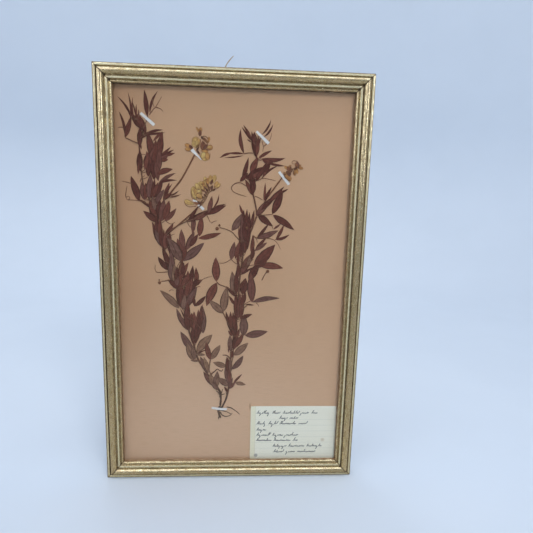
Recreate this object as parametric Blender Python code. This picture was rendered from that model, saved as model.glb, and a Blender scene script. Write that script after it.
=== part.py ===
"""Pressed flower frame: a dried two-stemmed vetchling on a tan sheet with a ruled label,
behind glass in a gilt moulded wooden frame, with brads, screw eyes and a hanging cord.

Metres, +Z up. The origin is the middle of the frame's bottom edge, half way through its
depth. The front looks along -Y. Dimensions below are in millimetres.
"""

import math

import bmesh
import bpy
from mathutils import Matrix, Vector

MM = 0.001
GAP = 0.3  # air kept between pieces that touch

# Sheet, sight opening and moulding
SHEET_W = 240.0
SHEET_H = 400.0
SHEET_COVERED_SIDE = 4.0  # what the lip hides of the sheet at each side
SHEET_COVERED_ENDS = 4.4  # and at the top and the bottom
MOULDING_W = 18.4
MOULDING_DEPTH = 16.0
REBATE_W = 5.0
REBATE_DEPTH = 8.2
FRAME_W = SHEET_W - 2 * SHEET_COVERED_SIDE + 2 * MOULDING_W
FRAME_H = SHEET_H - 2 * SHEET_COVERED_ENDS + 2 * MOULDING_W
BACK_WIDTH = MOULDING_W - REBATE_W  # the moulding's flat back

# The pack in the rebate, from the lip to the back
GLASS_THICK = 2.0
PLANT_ROOM = 1.7  # between the glass and the sheet
SHEET_THICK = 0.3
BOARD_THICK = 2.0
GLASS_CLEARANCE = 0.6  # the pane is cut this much smaller than the rebate, each side

BACK_Y = MOULDING_DEPTH / 2
GLASS_FRONT = BACK_Y - REBATE_DEPTH + GAP
GLASS_BACK = GLASS_FRONT + GLASS_THICK
SHEET_FRONT = GLASS_BACK + PLANT_ROOM
SHEET_BACK = SHEET_FRONT + SHEET_THICK
BOARD_FRONT = SHEET_BACK + GAP
BOARD_BACK = BOARD_FRONT + BOARD_THICK
SHEET_BOTTOM = MOULDING_W - SHEET_COVERED_ENDS

# The label card, glued low at the right so that its edge runs under the lip
LABEL_W = 95.5
LABEL_H = 64.0
LABEL_THICK = 0.25
LABEL_LEFT = 21.0
LABEL_BOTTOM = 16.0

# Heights above the sheet inside the pack
RESTING = GAP
STEM_THICK = 0.6
LEAF_THICK = 0.15
HEAD_THICK = 1.0
TAPE_THICK = 0.1
OVER_STEM = RESTING + STEM_THICK + GAP

# Fixings and cord
BRAD_R = 0.4
BRAD_HOLE_R = 0.75
BRAD_LENGTH = 9.0
BRAD_SUNK = 4.5
BRAD_Y = BOARD_BACK + GAP + BRAD_R + 0.05
EYE_Z = 333.0
EYE_X = FRAME_W / 2 - 7.15
EYE_RING_R = 2.8
EYE_WIRE_R = 0.7
EYE_Y = BACK_Y + 0.4 + EYE_RING_R + EYE_WIRE_R
EYE_SHANK_R = 0.9
EYE_HOLE_R = 1.3
EYE_SUNK = 6.0
CORD_R = 0.55
HANG_Z = 403.6  # the middle of the cord where it bends over the nail

materials = {}


def finish(name, colour, roughness, metallic=0.0):
    """One Principled material for each finish, made once."""
    if name not in materials:
        made = bpy.data.materials.new(name)
        made.use_nodes = True
        shader = made.node_tree.nodes["Principled BSDF"]
        shader.inputs["Base Color"].default_value = (*colour, 1.0)
        shader.inputs["Roughness"].default_value = roughness
        shader.inputs["Metallic"].default_value = metallic
        materials[name] = made
    return materials[name]


GILT = ("gilt", (0.55, 0.45, 0.22), 0.35, 0.9)
GLASS = ("glass", (0.9, 0.95, 0.93), 0.02)
SHEET = ("tan_paper", (0.43, 0.27, 0.16), 0.85)
LABEL = ("label_paper", (0.75, 0.74, 0.66), 0.8)
BOARD = ("grey_board", (0.32, 0.26, 0.19), 0.9)
STEEL = ("steel", (0.45, 0.44, 0.42), 0.35, 1.0)
CORD = ("cord", (0.42, 0.36, 0.27), 0.9)
TAPE = ("white_tape", (0.75, 0.76, 0.75), 0.8)
STEM = ("dry_stem", (0.10, 0.045, 0.03), 0.8)
LEAF = ("dry_leaf", (0.11, 0.045, 0.04), 0.8)
PETAL = ("dry_petal", (0.42, 0.27, 0.08), 0.8)
ROOT = ("dry_root", (0.09, 0.06, 0.04), 0.9)


def add(name, vertices, faces, look, smooth=False):
    """A closed mesh object from points in millimetres."""
    mesh = bpy.data.meshes.new(name)
    mesh.from_pydata([Vector(v) * MM for v in vertices], [], faces)
    mesh.validate()
    shape = bmesh.new()
    shape.from_mesh(mesh)
    bmesh.ops.recalc_face_normals(shape, faces=shape.faces)
    shape.to_mesh(mesh)
    shape.free()
    made = bpy.data.objects.new(name, mesh)
    mesh.materials.append(finish(*look))
    if smooth:
        mesh.shade_smooth()
        mesh.set_sharp_from_angle(angle=math.radians(35))
    bpy.context.scene.collection.objects.link(made)
    return made


def slab(name, low, high, look):
    """A plain rectangular piece between two corners."""
    (x0, y0, z0), (x1, y1, z1) = low, high
    corners = [(x, y, z) for x in (x0, x1) for y in (y0, y1) for z in (z0, z1)]
    faces = [(0, 1, 3, 2), (4, 6, 7, 5), (0, 4, 5, 1), (2, 3, 7, 6), (0, 2, 6, 4), (1, 5, 7, 3)]
    return add(name, corners, faces, look)


def arc(centre, radius, start, end, steps):
    """Points on a circle from one angle to another, in degrees."""
    points = []
    for i in range(steps + 1):
        a = math.radians(start + (end - start) * i / steps)
        points.append((centre[0] + radius * math.cos(a), centre[1] + radius * math.sin(a)))
    return points


def moulding_profile():
    """The moulding's section: distance in from the outer edge, height above the back."""
    outer_edge = arc((1.2, 11.5), 1.2, 180, 98, 4)
    outer_fillet = [(1.9, 13.08)] + arc((2.8, 12.7), 0.4, 90, 0, 3)
    outer_quirk = [(3.3, 11.8), (3.6, 11.5), (3.95, 11.6)]
    torus = arc((7.5, 12.8), 3.2, 186, -6, 18)
    inner_quirk = [(10.95, 11.85), (11.4, 11.7), (11.85, 11.85)]
    step = arc((12.4, 12.65), 0.35, 180, 90, 2) + arc((13.75, 12.55), 0.45, 90, 0, 3)
    cove = arc((16.9, 12.3), 2.6, 184, 224, 4)
    sight_bead = arc((16.35, 10.6), 0.9, 165, -12, 6)
    lip = [(17.95, 9.15), (MOULDING_W, 8.5), (MOULDING_W, REBATE_DEPTH)]
    rebate = [(BACK_WIDTH, REBATE_DEPTH), (BACK_WIDTH, 0.0)]
    return (
        [(0.0, 0.0)]
        + outer_edge
        + outer_fillet
        + outer_quirk
        + torus
        + inner_quirk
        + step
        + cove
        + sight_bead
        + lip
        + rebate
    )


def drilled(piece, holes):
    """Bores blind holes: (centre, direction, radius, depth) in millimetres."""
    for centre, direction, radius, depth in holes:
        bpy.ops.mesh.primitive_cylinder_add(vertices=8, radius=radius * MM, depth=2 * depth * MM)
        cutter = bpy.context.active_object
        turn = Vector((0, 0, 1)).rotation_difference(Vector(direction)).to_matrix().to_4x4()
        cutter.data.transform(Matrix.Translation(Vector(centre) * MM) @ turn)
        cut = piece.modifiers.new("hole", "BOOLEAN")
        cut.operation = "DIFFERENCE"
        cut.object = cutter
        cutter.hide_render = True
        cutter.display_type = "WIRE"
        cutter.name = piece.name + "_hole_cutter"


def rail(name, side, holes):
    """One mitred length of moulding. side is top, bottom, left or right."""
    profile = moulding_profile()
    half_w, half_h = FRAME_W / 2, FRAME_H / 2
    joint = GAP * math.sqrt(2)  # a stile stops this short at each mitre
    points = []
    for end in (-1, 1):
        for inward, height in profile:
            y = BACK_Y - height
            along_x = end * (half_w - inward)
            along_z = half_h + end * (half_h - inward - joint)
            if side == "top":
                points.append((along_x, y, FRAME_H - inward))
            elif side == "bottom":
                points.append((along_x, y, inward))
            elif side == "left":
                points.append((inward - half_w, y, along_z))
            else:
                points.append((half_w - inward, y, along_z))
    count = len(profile)
    faces = [(i, (i + 1) % count, count + (i + 1) % count, count + i) for i in range(count)]
    faces += [tuple(range(count)), tuple(range(2 * count - 1, count - 1, -1))]
    piece = add(name, points, faces, GILT, smooth=True)
    drilled(piece, holes)


def brad_places():
    """Each brad's name, its place on the rebate wall and the way it points inwards."""
    wall_x = FRAME_W / 2 - BACK_WIDTH
    places = []
    for number, z in enumerate((110.0, 320.0), 1):
        places.append((f"brad_left_{number}", "left", (-wall_x, BRAD_Y, z), (1, 0, 0)))
        places.append((f"brad_right_{number}", "right", (wall_x, BRAD_Y, z), (-1, 0, 0)))
    for number, x in enumerate((-62.0, 62.0), 1):
        places.append((f"brad_top_{number}", "top", (x, BRAD_Y, FRAME_H - BACK_WIDTH), (0, 0, -1)))
        places.append((f"brad_bottom_{number}", "bottom", (x, BRAD_Y, BACK_WIDTH), (0, 0, 1)))
    return places


def frame_rails():
    for side, name in (
        ("top", "top_rail"),
        ("bottom", "bottom_rail"),
        ("left", "left_stile"),
        ("right", "right_stile"),
    ):
        holes = [
            (place, way, BRAD_HOLE_R, BRAD_SUNK + GAP)
            for _, at, place, way in brad_places()
            if at == side
        ]
        if side in ("left", "right"):
            x = -EYE_X if side == "left" else EYE_X
            holes.append(((x, BACK_Y, EYE_Z), (0, 1, 0), EYE_HOLE_R, EYE_SUNK + GAP))
        rail(name, side, holes)


def glazing_pack():
    """Glass, tan sheet with its label, and the backing board."""
    pane_x = FRAME_W / 2 - BACK_WIDTH - GLASS_CLEARANCE
    pane_low = BACK_WIDTH + GLASS_CLEARANCE
    pane_high = FRAME_H - pane_low
    slab("glass_pane", (-pane_x, GLASS_FRONT, pane_low), (pane_x, GLASS_BACK, pane_high), GLASS)
    slab(
        "mount_sheet",
        (-SHEET_W / 2, SHEET_FRONT, SHEET_BOTTOM),
        (SHEET_W / 2, SHEET_BACK, SHEET_BOTTOM + SHEET_H),
        SHEET,
    )
    slab("backing_board", (-pane_x, BOARD_FRONT, pane_low), (pane_x, BOARD_BACK, pane_high), BOARD)
    label_back = SHEET_FRONT - RESTING
    slab(
        "label_card",
        (LABEL_LEFT, label_back - LABEL_THICK, LABEL_BOTTOM),
        (LABEL_LEFT + LABEL_W, label_back, LABEL_BOTTOM + LABEL_H),
        LABEL,
    )


def turned(name, stations, axis_from, axis_to, look, sides=8):
    """A round solid along a line: stations are (distance along it, radius)."""
    start, end = Vector(axis_from), Vector(axis_to)
    way = (end - start).normalized()
    turn = Vector((0, 0, 1)).rotation_difference(way).to_matrix()
    points, faces = [], []
    for distance, radius in stations:
        for i in range(sides):
            a = 2 * math.pi * i / sides
            rim = turn @ Vector((radius * math.cos(a), radius * math.sin(a), 0))
            points.append(tuple(start + way * distance + rim))
    for s in range(len(stations) - 1):
        for i in range(sides):
            j = (i + 1) % sides
            faces.append((s * sides + i, s * sides + j, (s + 1) * sides + j, (s + 1) * sides + i))
    last = (len(stations) - 1) * sides
    faces += [tuple(range(sides - 1, -1, -1)), tuple(range(last, last + sides))]
    return add(name, points, faces, look, smooth=True)


def brads():
    """Headless brads driven sideways into the rebate to hold the board."""
    for name, _, place, way in brad_places():
        start = Vector(place) - Vector(way) * BRAD_SUNK
        end = start + Vector(way) * BRAD_LENGTH
        stations = [(0.0, BRAD_R * 0.4), (0.8, BRAD_R), (BRAD_LENGTH, BRAD_R)]
        turned(name, stations, start, end, STEEL)


def screw_eyes():
    """A wire ring with its shank, screwed into the back of each stile."""
    for name, x in (("screw_eye_left", -EYE_X), ("screw_eye_right", EYE_X)):
        bpy.ops.mesh.primitive_torus_add(
            major_segments=20,
            minor_segments=8,
            major_radius=EYE_RING_R * MM,
            minor_radius=EYE_WIRE_R * MM,
        )
        ring = bpy.context.active_object
        ring.data.transform(Matrix.Rotation(math.radians(90), 4, "Y"))
        ring.data.transform(Matrix.Translation(Vector((x, EYE_Y, EYE_Z)) * MM))
        ring.name = name
        ring.data.name = name
        ring.data.materials.append(finish(*STEEL))
        shank_top = EYE_Y - EYE_RING_R
        tip = BACK_Y - EYE_SUNK
        length = shank_top - tip
        stations = [(0.0, 0.2), (1.6, EYE_SHANK_R), (length, EYE_SHANK_R)]
        shank = turned(name + "_shank", stations, (x, tip, EYE_Z), (x, shank_top, EYE_Z), STEEL)
        join = ring.modifiers.new("shank", "BOOLEAN")
        join.operation = "UNION"
        join.object = shank
        shank.hide_render = True
        shank.display_type = "WIRE"
        ring.data.shade_smooth()


def smooth_route(points, spacing):
    """Evenly spaced points on a smooth curve through the given ones."""
    nodes = [Vector(p) for p in points]
    ends = [2 * nodes[0] - nodes[1]] + nodes + [2 * nodes[-1] - nodes[-2]]
    fine = []
    for a, b, c, d in zip(ends, ends[1:], ends[2:], ends[3:]):
        # Root-length steps keep long and short stretches side by side from overshooting.
        before, here, after = ((q - p).length ** 0.5 for p, q in ((a, b), (b, c), (c, d)))
        leave = ((b - a) / before - (c - a) / (before + here) + (c - b) / here) * here
        arrive = ((c - b) / here - (d - b) / (here + after) + (d - c) / after) * here
        for k in range(16):
            t = k / 16
            start = b * (2 * t**3 - 3 * t**2 + 1) + leave * (t**3 - 2 * t**2 + t)
            fine.append(start + c * (3 * t**2 - 2 * t**3) + arrive * (t**3 - t**2))
    fine.append(nodes[-1])
    total = sum((q - p).length for p, q in zip(fine, fine[1:]))
    count = max(2, round(total / spacing))
    route, gone, aim = [fine[0]], 0.0, 1
    for p, q in zip(fine, fine[1:]):
        step = (q - p).length
        while aim < count and gone + step >= total * aim / count:
            route.append(p.lerp(q, (total * aim / count - gone) / step))
            aim += 1
        gone += step
    route.append(fine[-1])
    return route


def cord(name, points, spacing):
    """A round cord as a curve with a bevel and filled ends."""
    route = smooth_route(points, spacing)
    curve = bpy.data.curves.new(name, "CURVE")
    curve.dimensions = "3D"
    curve.bevel_depth = CORD_R * MM
    curve.bevel_resolution = 2
    curve.use_fill_caps = True
    line = curve.splines.new("POLY")
    line.points.add(len(route) - 1)
    for point, place in zip(line.points, route):
        point.co = (*(place * MM), 1.0)
    curve.materials.append(finish(*CORD))
    made = bpy.data.objects.new(name, curve)
    bpy.context.scene.collection.objects.link(made)
    return made


# The cord runs from a stopper knot behind each screw eye up to the nail, and its two
# lengths are tied together at a knot left of the nail. One end was left long there, and
# stands up above the top rail.
LEFT_RUN = [
    (-129.2, EYE_Y, 331.8),
    (-98.0, EYE_Y, 348.9),
    (-68.0, EYE_Y, 365.5),
    (-38.0, EYE_Y, 382.5),
    (-10.8, EYE_Y, 398.0),
]
RIGHT_RUN = [
    (129.2, EYE_Y, 331.8),
    (98.0, EYE_Y, 348.9),
    (66.0, EYE_Y, 366.8),
    (34.0, EYE_Y, 384.9),
    (12.0, EYE_Y, 397.6),
    (5.0, EYE_Y, 401.5),
    (2.3, EYE_Y, 402.9),
    (0.0, EYE_Y, HANG_Z),
    (-2.3, EYE_Y, 402.8),
    (-7.2, EYE_Y, 400.0),
]
TAIL = [
    (-10.1, EYE_Y, 401.0),
    (-11.4, EYE_Y, 403.6),
    (-13.0, EYE_Y, 410.0),
    (-13.9, EYE_Y, 417.5),
    (-13.5, EYE_Y, 425.0),
    (-11.0, EYE_Y, 432.4),
    (-7.2, EYE_Y, 438.2),
    (-3.4, EYE_Y, 442.4),
]
KNOT_AT = Vector((-9.0, EYE_Y, 399.0))
SLOPE = Vector((0.872, 0, 0.489))  # the way the left length runs, up to the nail


def hanging_cord():
    cord("cord_left", LEFT_RUN, 5.0)
    cord("cord_right", RIGHT_RUN, 4.0)
    cord("cord_tail", TAIL, 3.0)
    knot = [(0.0, 0.7), (0.6, 1.5), (1.7, 1.95), (2.8, 1.5), (3.4, 0.7)]
    half = SLOPE * knot[-1][0] / 2
    turned("cord_knot", knot, KNOT_AT - half, KNOT_AT + half, CORD, sides=10)
    stopper = [(0.0, 0.8), (0.8, 2.0), (2.0, 2.45), (3.2, 2.0), (4.0, 0.8)]
    for name, run, side in (("eye_knot_left", LEFT_RUN, 1), ("eye_knot_right", RIGHT_RUN, -1)):
        away = Vector((-side * SLOPE.x, 0, -SLOPE.z))
        start = Vector(run[0]) + away * GAP
        turned(name, stopper, start, start + away * stopper[-1][0], CORD, sides=10)


def pressed_stem(name, route, widths, look=STEM, lift=RESTING, thick=STEM_THICK, spacing=7.0):
    """A flattened stem lying on the sheet: route in (x, z), widths at its two ends."""
    line = smooth_route([(x, 0.0, z) for x, z in route], spacing)
    sides = 8
    centre_y = SHEET_FRONT - lift - thick / 2
    points, faces = [], []
    for k, place in enumerate(line):
        before, after = line[max(k - 1, 0)], line[min(k + 1, len(line) - 1)]
        way = (after - before).normalized()
        across = Vector((way.z, 0, -way.x))
        half = (widths[0] + (widths[1] - widths[0]) * k / (len(line) - 1)) / 2
        for i in range(sides):
            a = 2 * math.pi * (i + 0.5) / sides
            rim = across * (half * math.cos(a)) + Vector((0, thick / 2 * math.sin(a), 0))
            points.append((place.x + rim.x, centre_y + rim.y, place.z + rim.z))
    for k in range(len(line) - 1):
        for i in range(sides):
            j = (i + 1) % sides
            faces.append((k * sides + i, k * sides + j, (k + 1) * sides + j, (k + 1) * sides + i))
    last = (len(line) - 1) * sides
    faces += [tuple(range(sides - 1, -1, -1)), tuple(range(last, last + sides))]
    return add(name, points, faces, look, smooth=True)


def plant_stems():
    """The root, the two stems split at their forks, and the flower stalks."""
    left = [
        (-12.6, 80.6),
        (-12.0, 90.0),
        (-13.4, 98.0),
        (-18.8, 105.6),
        (-23.8, 112.4),
        (-29.4, 122.4),
        (-34.8, 131.0),
        (-39.0, 140.5),
        (-41.8, 153.0),
        (-45.0, 161.0),
        (-46.8, 169.0),
        (-48.8, 180.0),
        (-51.0, 194.0),
        (-55.5, 208.0),
        (-60.5, 222.0),
        (-65.5, 237.0),
        (-70.5, 251.0),
        (-74.0, 263.0),
    ]
    pressed_stem("left_stem_lower", left, (2.2, 1.8))
    left_up = [
        (-74.2, 263.6),
        (-76.0, 275.0),
        (-78.5, 290.0),
        (-84.5, 302.0),
        (-90.0, 314.0),
        (-92.2, 328.0),
        (-93.6, 345.0),
        (-93.4, 358.0),
        (-90.0, 369.0),
        (-94.0, 378.0),
    ]
    pressed_stem("left_stem_upper", left_up, (1.7, 1.2))
    right = [
        (-9.8, 80.6),
        (-6.6, 88.0),
        (-4.6, 96.0),
        (-3.0, 108.0),
        (-2.2, 124.0),
        (-1.6, 141.0),
        (0.6, 158.0),
        (3.0, 175.0),
        (5.0, 192.0),
        (5.6, 210.0),
        (6.8, 227.0),
        (8.6, 243.0),
        (11.4, 258.0),
        (16.0, 270.0),
        (19.4, 279.0),
        (22.4, 288.0),
    ]
    pressed_stem("right_stem_lower", right, (2.0, 1.5))
    right_up = [
        (22.5, 288.7),
        (22.0, 294.0),
        (20.2, 303.0),
        (17.8, 314.0),
        (17.4, 332.0),
        (21.0, 347.0),
        (19.6, 361.0),
        (18.6, 366.0),
    ]
    pressed_stem("right_stem_upper", right_up, (1.7, 1.3))
    pressed_stem("right_side_shoot", [(24.0, 291.4), (30.0, 299.4), (37.0, 307.0), (43.6, 312.4)], (1.4, 1.0))
    upper_stalk = [(-67.6, 303.4), (-64.2, 308.9), (-54.0, 321.8), (-49.6, 329.2), (-44.7, 338.2), (-40.0, 347.2)]
    pressed_stem("upper_flower_stalk", upper_stalk, (1.7, 1.5))
    lower_stalk = [(-72.2, 264.2), (-64.0, 271.0), (-52.0, 281.4), (-43.0, 289.4), (-35.4, 297.4), (-31.6, 301.4)]
    pressed_stem("lower_flower_stalk", lower_stalk, (1.6, 1.4))
    right_stalk = [(33.6, 308.2), (38.6, 315.2), (43.0, 321.4), (48.6, 329.4)]
    pressed_stem("right_flower_stalk", right_stalk, (1.5, 1.3))
    pressed_stem("root", [(-12.6, 79.8), (-14.4, 74.5), (-13.4, 70.0), (-13.0, 66.6)], (3.4, 1.2), ROOT, spacing=3.0)


def flower_head(name, outline):
    """The flattened solid that a head of pressed pea flowers fills."""
    front = SHEET_FRONT - RESTING - HEAD_THICK
    back = SHEET_FRONT - RESTING
    count = len(outline)
    middle = (sum(p[0] for p in outline) / count, sum(p[1] for p in outline) / count)
    points = []
    for y, inset in ((back, 0.0), (back - 0.6 * HEAD_THICK, 0.0), (front, 0.25)):
        for x, z in outline:
            points.append((x + (middle[0] - x) * inset, y, z + (middle[1] - z) * inset))
    faces = []
    for k in range(2):
        for i in range(count):
            j = (i + 1) % count
            faces.append((k * count + i, k * count + j, (k + 1) * count + j, (k + 1) * count + i))
    faces += [tuple(range(count - 1, -1, -1)), tuple(range(2 * count, 3 * count))]
    return add(name, points, faces, PETAL)


def flower_heads():
    upper = [(-38.0, 352.4), (-46.6, 354.6), (-49.0, 357.6), (-42.6, 360.0), (-40.6, 364.0), (-37.4, 366.0)]
    upper += [(-36.6, 372.4), (-33.2, 371.4), (-31.0, 364.6), (-25.6, 361.4), (-25.4, 354.6), (-29.0, 345.6)]
    upper += [(-33.6, 347.6)]
    flower_head("upper_flower_head", upper)
    lower = [(-31.2, 302.6), (-35.0, 302.8), (-40.4, 304.6), (-43.4, 311.0), (-39.6, 318.0), (-33.0, 323.2)]
    lower += [(-26.6, 327.4), (-20.6, 326.2), (-15.4, 320.6), (-15.6, 315.6), (-21.0, 312.6), (-26.4, 308.0)]
    flower_head("lower_flower_head", lower)
    right = [(50.4, 330.8), (52.6, 327.4), (55.4, 325.2), (56.6, 331.6), (59.4, 330.2), (62.0, 334.6)]
    right += [(67.4, 336.6), (64.8, 340.4), (61.8, 344.2), (57.2, 342.8), (55.0, 339.4), (49.2, 336.8)]
    flower_head("right_flower_head", right)


def leaflet(name, base, tip, width, bow=0.0, lift=RESTING):
    """A lance-shaped leaflet: base and tip in (x, z), bow sideways in the middle."""
    stations = 8
    start, end = Vector((base[0], base[1])), Vector((tip[0], tip[1]))
    way = (end - start).normalized()
    across = Vector((way.y, -way.x))
    edges = []
    for k in range(stations + 1):
        t = k / stations
        half = max(width / 2 * math.sin(math.pi * t**0.9) ** 0.8, 0.12) if 0 < k < stations else 0.12
        middle = start.lerp(end, t) + across * (bow * 4 * t * (1 - t))
        edges.append((middle + across * half, middle - across * half))
    points = []
    for height in (lift, lift + LEAF_THICK):
        y = SHEET_FRONT - height
        for right_edge, left_edge in edges:
            points.append((right_edge.x, y, right_edge.y))
            points.append((left_edge.x, y, left_edge.y))
    side = 2 * (stations + 1)
    faces = []
    for k in range(stations):
        a, b, c, d = 2 * k, 2 * k + 1, 2 * k + 3, 2 * k + 2
        faces.append((a, b, c, d))
        faces.append((side + d, side + c, side + b, side + a))
        faces.append((a, d, side + d, side + a))
        faces.append((b, side + b, side + c, c))
    faces.append((0, side, side + 1, 1))
    faces.append((side - 2, side - 1, 2 * side - 1, 2 * side - 2))
    return add(name, points, faces, LEAF)


# The leaflets that lie clear of the rest: base, tip, width and bow
LEAFLETS = [
    ("leaf_top_left_a", (-85.4, 381.8), (-87.9, 405.9), 4.9, 0.2),
    ("leaf_top_left_b", (-83.0, 385.0), (-75.3, 405.2), 2.6, -1.7),
    ("leaf_left_edge", (-95.0, 300.6), (-102.3, 324.6), 7.8, 0.0),
    ("leaf_left_outer", (-106.9, 361.4), (-112.1, 385.0), 2.9, 1.5),
    ("leaf_left_low", (-56.0, 190.2), (-76.0, 209.3), 7.4, 0.6),
    ("leaf_middle_a", (-17.9, 219.6), (-18.6, 244.9), 9.1, 0.0),
    ("leaf_middle_b", (-17.4, 218.0), (-28.0, 193.0), 9.6, 0.9),
    ("leaf_middle_c", (-10.8, 186.4), (-6.8, 213.9), 9.2, -0.3),
    ("leaf_fork_a", (-35.5, 266.4), (-33.0, 286.6), 7.0, 0.0),
    ("leaf_fork_b", (-36.4, 264.2), (-13.2, 270.2), 5.6, 0.6),
    ("leaf_fork_c", (-53.4, 240.6), (-30.5, 259.8), 9.4, 0.7),
    ("leaf_low_a", (-23.2, 133.8), (-13.3, 150.5), 7.2, 0.1),
    ("leaf_low_b", (1.6, 138.6), (16.7, 152.9), 8.1, 0.1),
    ("leaf_low_c", (0.0, 122.8), (11.6, 138.5), 6.6, 0.8),
    ("leaf_right_a", (38.5, 290.8), (48.3, 313.8), 8.1, 0.1),
    ("leaf_right_b", (39.2, 289.6), (61.4, 275.0), 7.4, -0.2),
    ("leaf_right_c", (26.8, 236.8), (51.4, 234.7), 7.8, -1.4),
    ("leaf_right_d", (20.0, 197.8), (48.8, 202.4), 5.6, -1.6),
]


def tape(name, start, end, width, hump):
    """A paper strip glued at its ends, lifted over what it holds: hump is where along it."""
    start, end = Vector(start), Vector(end)
    way = (end - start).normalized()
    across = Vector((way.y, -way.x)) * width / 2
    length = (end - start).length
    low, high = hump
    crown = OVER_STEM
    stations = [(0.0, RESTING), (low, RESTING), (low + 1.4, crown), (high - 1.4, crown), (high, RESTING), (length, RESTING)]
    points, faces = [], []
    for distance, lift in stations:
        middle = start + way * distance
        for height in (lift, lift + TAPE_THICK):
            for side in (1, -1):
                edge = middle + across * side
                points.append((edge.x, SHEET_FRONT - height, edge.y))
    for k in range(len(stations) - 1):
        a, b = 4 * k, 4 * (k + 1)
        faces += [(a, a + 1, b + 1, b), (a + 2, b + 2, b + 3, a + 3), (a, b, b + 2, a + 2), (a + 1, a + 3, b + 3, b + 1)]
    last = 4 * (len(stations) - 1)
    faces += [(0, 2, 3, 1), (last, last + 1, last + 3, last + 2)]
    return add(name, points, faces, TAPE)


def tapes():
    tape("tape_left_tip", (-91.8, 384.6), (-79.0, 373.8), 2.8, (1.6, 12.0))
    tape("tape_upper_flower", (-43.0, 351.6), (-35.2, 343.4), 2.8, (0.6, 10.6))
    tape("tape_lower_flower", (-41.4, 303.2), (-31.0, 293.4), 2.6, (2.4, 12.6))
    tape("tape_right_tip", (20.3, 371.3), (32.8, 360.0), 2.7, (1.4, 11.4))
    tape("tape_right_flower", (43.9, 333.0), (54.4, 320.6), 2.7, (1.6, 10.6))
    tape("tape_root", (-21.9, 77.9), (-5.3, 76.5), 2.6, (3.6, 13.4))


for old in list(bpy.data.objects):
    bpy.data.objects.remove(old)

frame_rails()
glazing_pack()
brads()
screw_eyes()
hanging_cord()
plant_stems()
flower_heads()
for spec in LEAFLETS:
    leaflet(*spec)
tapes()
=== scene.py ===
"""Looks for the pressed flower frame: a dried two-stemmed vetchling on a tan sheet with a ruled
label, behind glass in a gilt moulded frame, with brads, screw eyes and a hanging cord.

Sizes are in millimetres until a mesh is made: x from the frame's middle, z up from its bottom
edge, y from the middle of its depth with the front at minus.
"""

import math
import random

import bpy
import numpy as np
from mathutils import Matrix, Vector, noise


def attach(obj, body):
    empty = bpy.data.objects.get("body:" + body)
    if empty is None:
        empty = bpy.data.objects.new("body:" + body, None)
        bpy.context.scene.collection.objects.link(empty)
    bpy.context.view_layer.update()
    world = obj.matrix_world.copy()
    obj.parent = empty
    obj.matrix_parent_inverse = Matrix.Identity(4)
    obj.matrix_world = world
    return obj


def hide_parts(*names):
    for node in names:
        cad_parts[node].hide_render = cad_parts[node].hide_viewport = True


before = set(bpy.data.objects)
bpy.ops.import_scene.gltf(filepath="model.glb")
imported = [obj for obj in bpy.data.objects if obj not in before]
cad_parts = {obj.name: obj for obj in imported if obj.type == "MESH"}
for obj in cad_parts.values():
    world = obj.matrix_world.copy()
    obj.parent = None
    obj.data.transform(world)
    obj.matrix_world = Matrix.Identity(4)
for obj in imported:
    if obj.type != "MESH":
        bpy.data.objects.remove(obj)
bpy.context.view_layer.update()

# ---------------------------------------------------------------------------------------------
# The camera
# It stands a little left of the frame's upper half, looks down at it and is tipped slightly,
# so the frame narrows towards the bottom as it does in the photograph.

CAMERA_AT = (0.005418, -0.452086, 0.317211)
LOOKS_DOWN = math.radians(10.075)
TURNED_RIGHT = math.radians(3.590)
TIPPED = math.radians(1.588)
FOCAL_SHARE = 445 / 533  # focal length over picture width

camera_data = bpy.data.cameras.new("camera")
camera_data.sensor_width = 36.0
camera_data.lens = 36.0 * FOCAL_SHARE
camera_data.clip_start = 0.01
camera = bpy.data.objects.new("camera", camera_data)
aim = Matrix.Rotation(-TURNED_RIGHT, 4, "Z") @ Matrix.Rotation(math.pi / 2 - LOOKS_DOWN, 4, "X")
camera.matrix_world = Matrix.Translation(CAMERA_AT) @ aim @ Matrix.Rotation(TIPPED, 4, "Z")
bpy.context.scene.collection.objects.link(camera)
bpy.context.scene.camera = camera

# ---------------------------------------------------------------------------------------------
# The hanging cord
# Waxed linen cord of three strands, 1.1 mm thick, tied to a screw eye at each side. The two
# lengths meet at a knot left of the nail, and one end was left long and stands above the frame.


def places(text):
    """Places written as x and z, x and z, and so on."""
    numbers = [float(word) for word in text.split()]
    return list(zip(numbers[::2], numbers[1::2]))


MM = 0.001
CORD_Y = 11.9
CORD_R = 0.55
CORD_LAY = 4.2  # length in which a strand goes round once
CORD_STEP = 0.42  # spacing of the rings of points along it
STRAND_SIDES = 15
KNOT_STEPS = 72
LEFT_RUN = places("-129.2 331.8  -98 348.9  -68 365.5  -38 382.5  -10.8 398")
RIGHT_RUN = places(
    "129.2 331.8  98 348.9  66 366.8  34 384.9  12 397.6  5 401.5  2.3 402.9  0 403.6  -2.3 402.8  -7.2 400"
)
TAIL = places("-10.1 401  -11.4 403.6  -13 410  -13.9 417.5  -13.5 425  -11 432.4  -7.2 438.2  -3.4 442.4")
KNOT_AT = (-9.0, 399.0)
SLOPE = (0.872, 0.489)  # the way the left length runs, up to the nail


def plug(tree, socket, value):
    """Gives a socket a plain value or colour, or links it to the socket that feeds it."""
    if isinstance(value, bpy.types.NodeSocket):
        tree.links.new(value, socket)
    elif socket.type == "RGBA" and len(value) == 3:
        socket.default_value = (*value, 1.0)
    else:
        socket.default_value = value


def put(tree, kind, settings=None, **inputs):
    """Adds a shader node with its settings, and with values or sockets for its inputs."""
    made = tree.nodes.new(kind)
    for key, value in (settings or {}).items():
        setattr(made, key, value)
    for name, value in inputs.items():
        plug(tree, made.inputs[name.replace("_", " ")], value)
    return made


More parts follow.
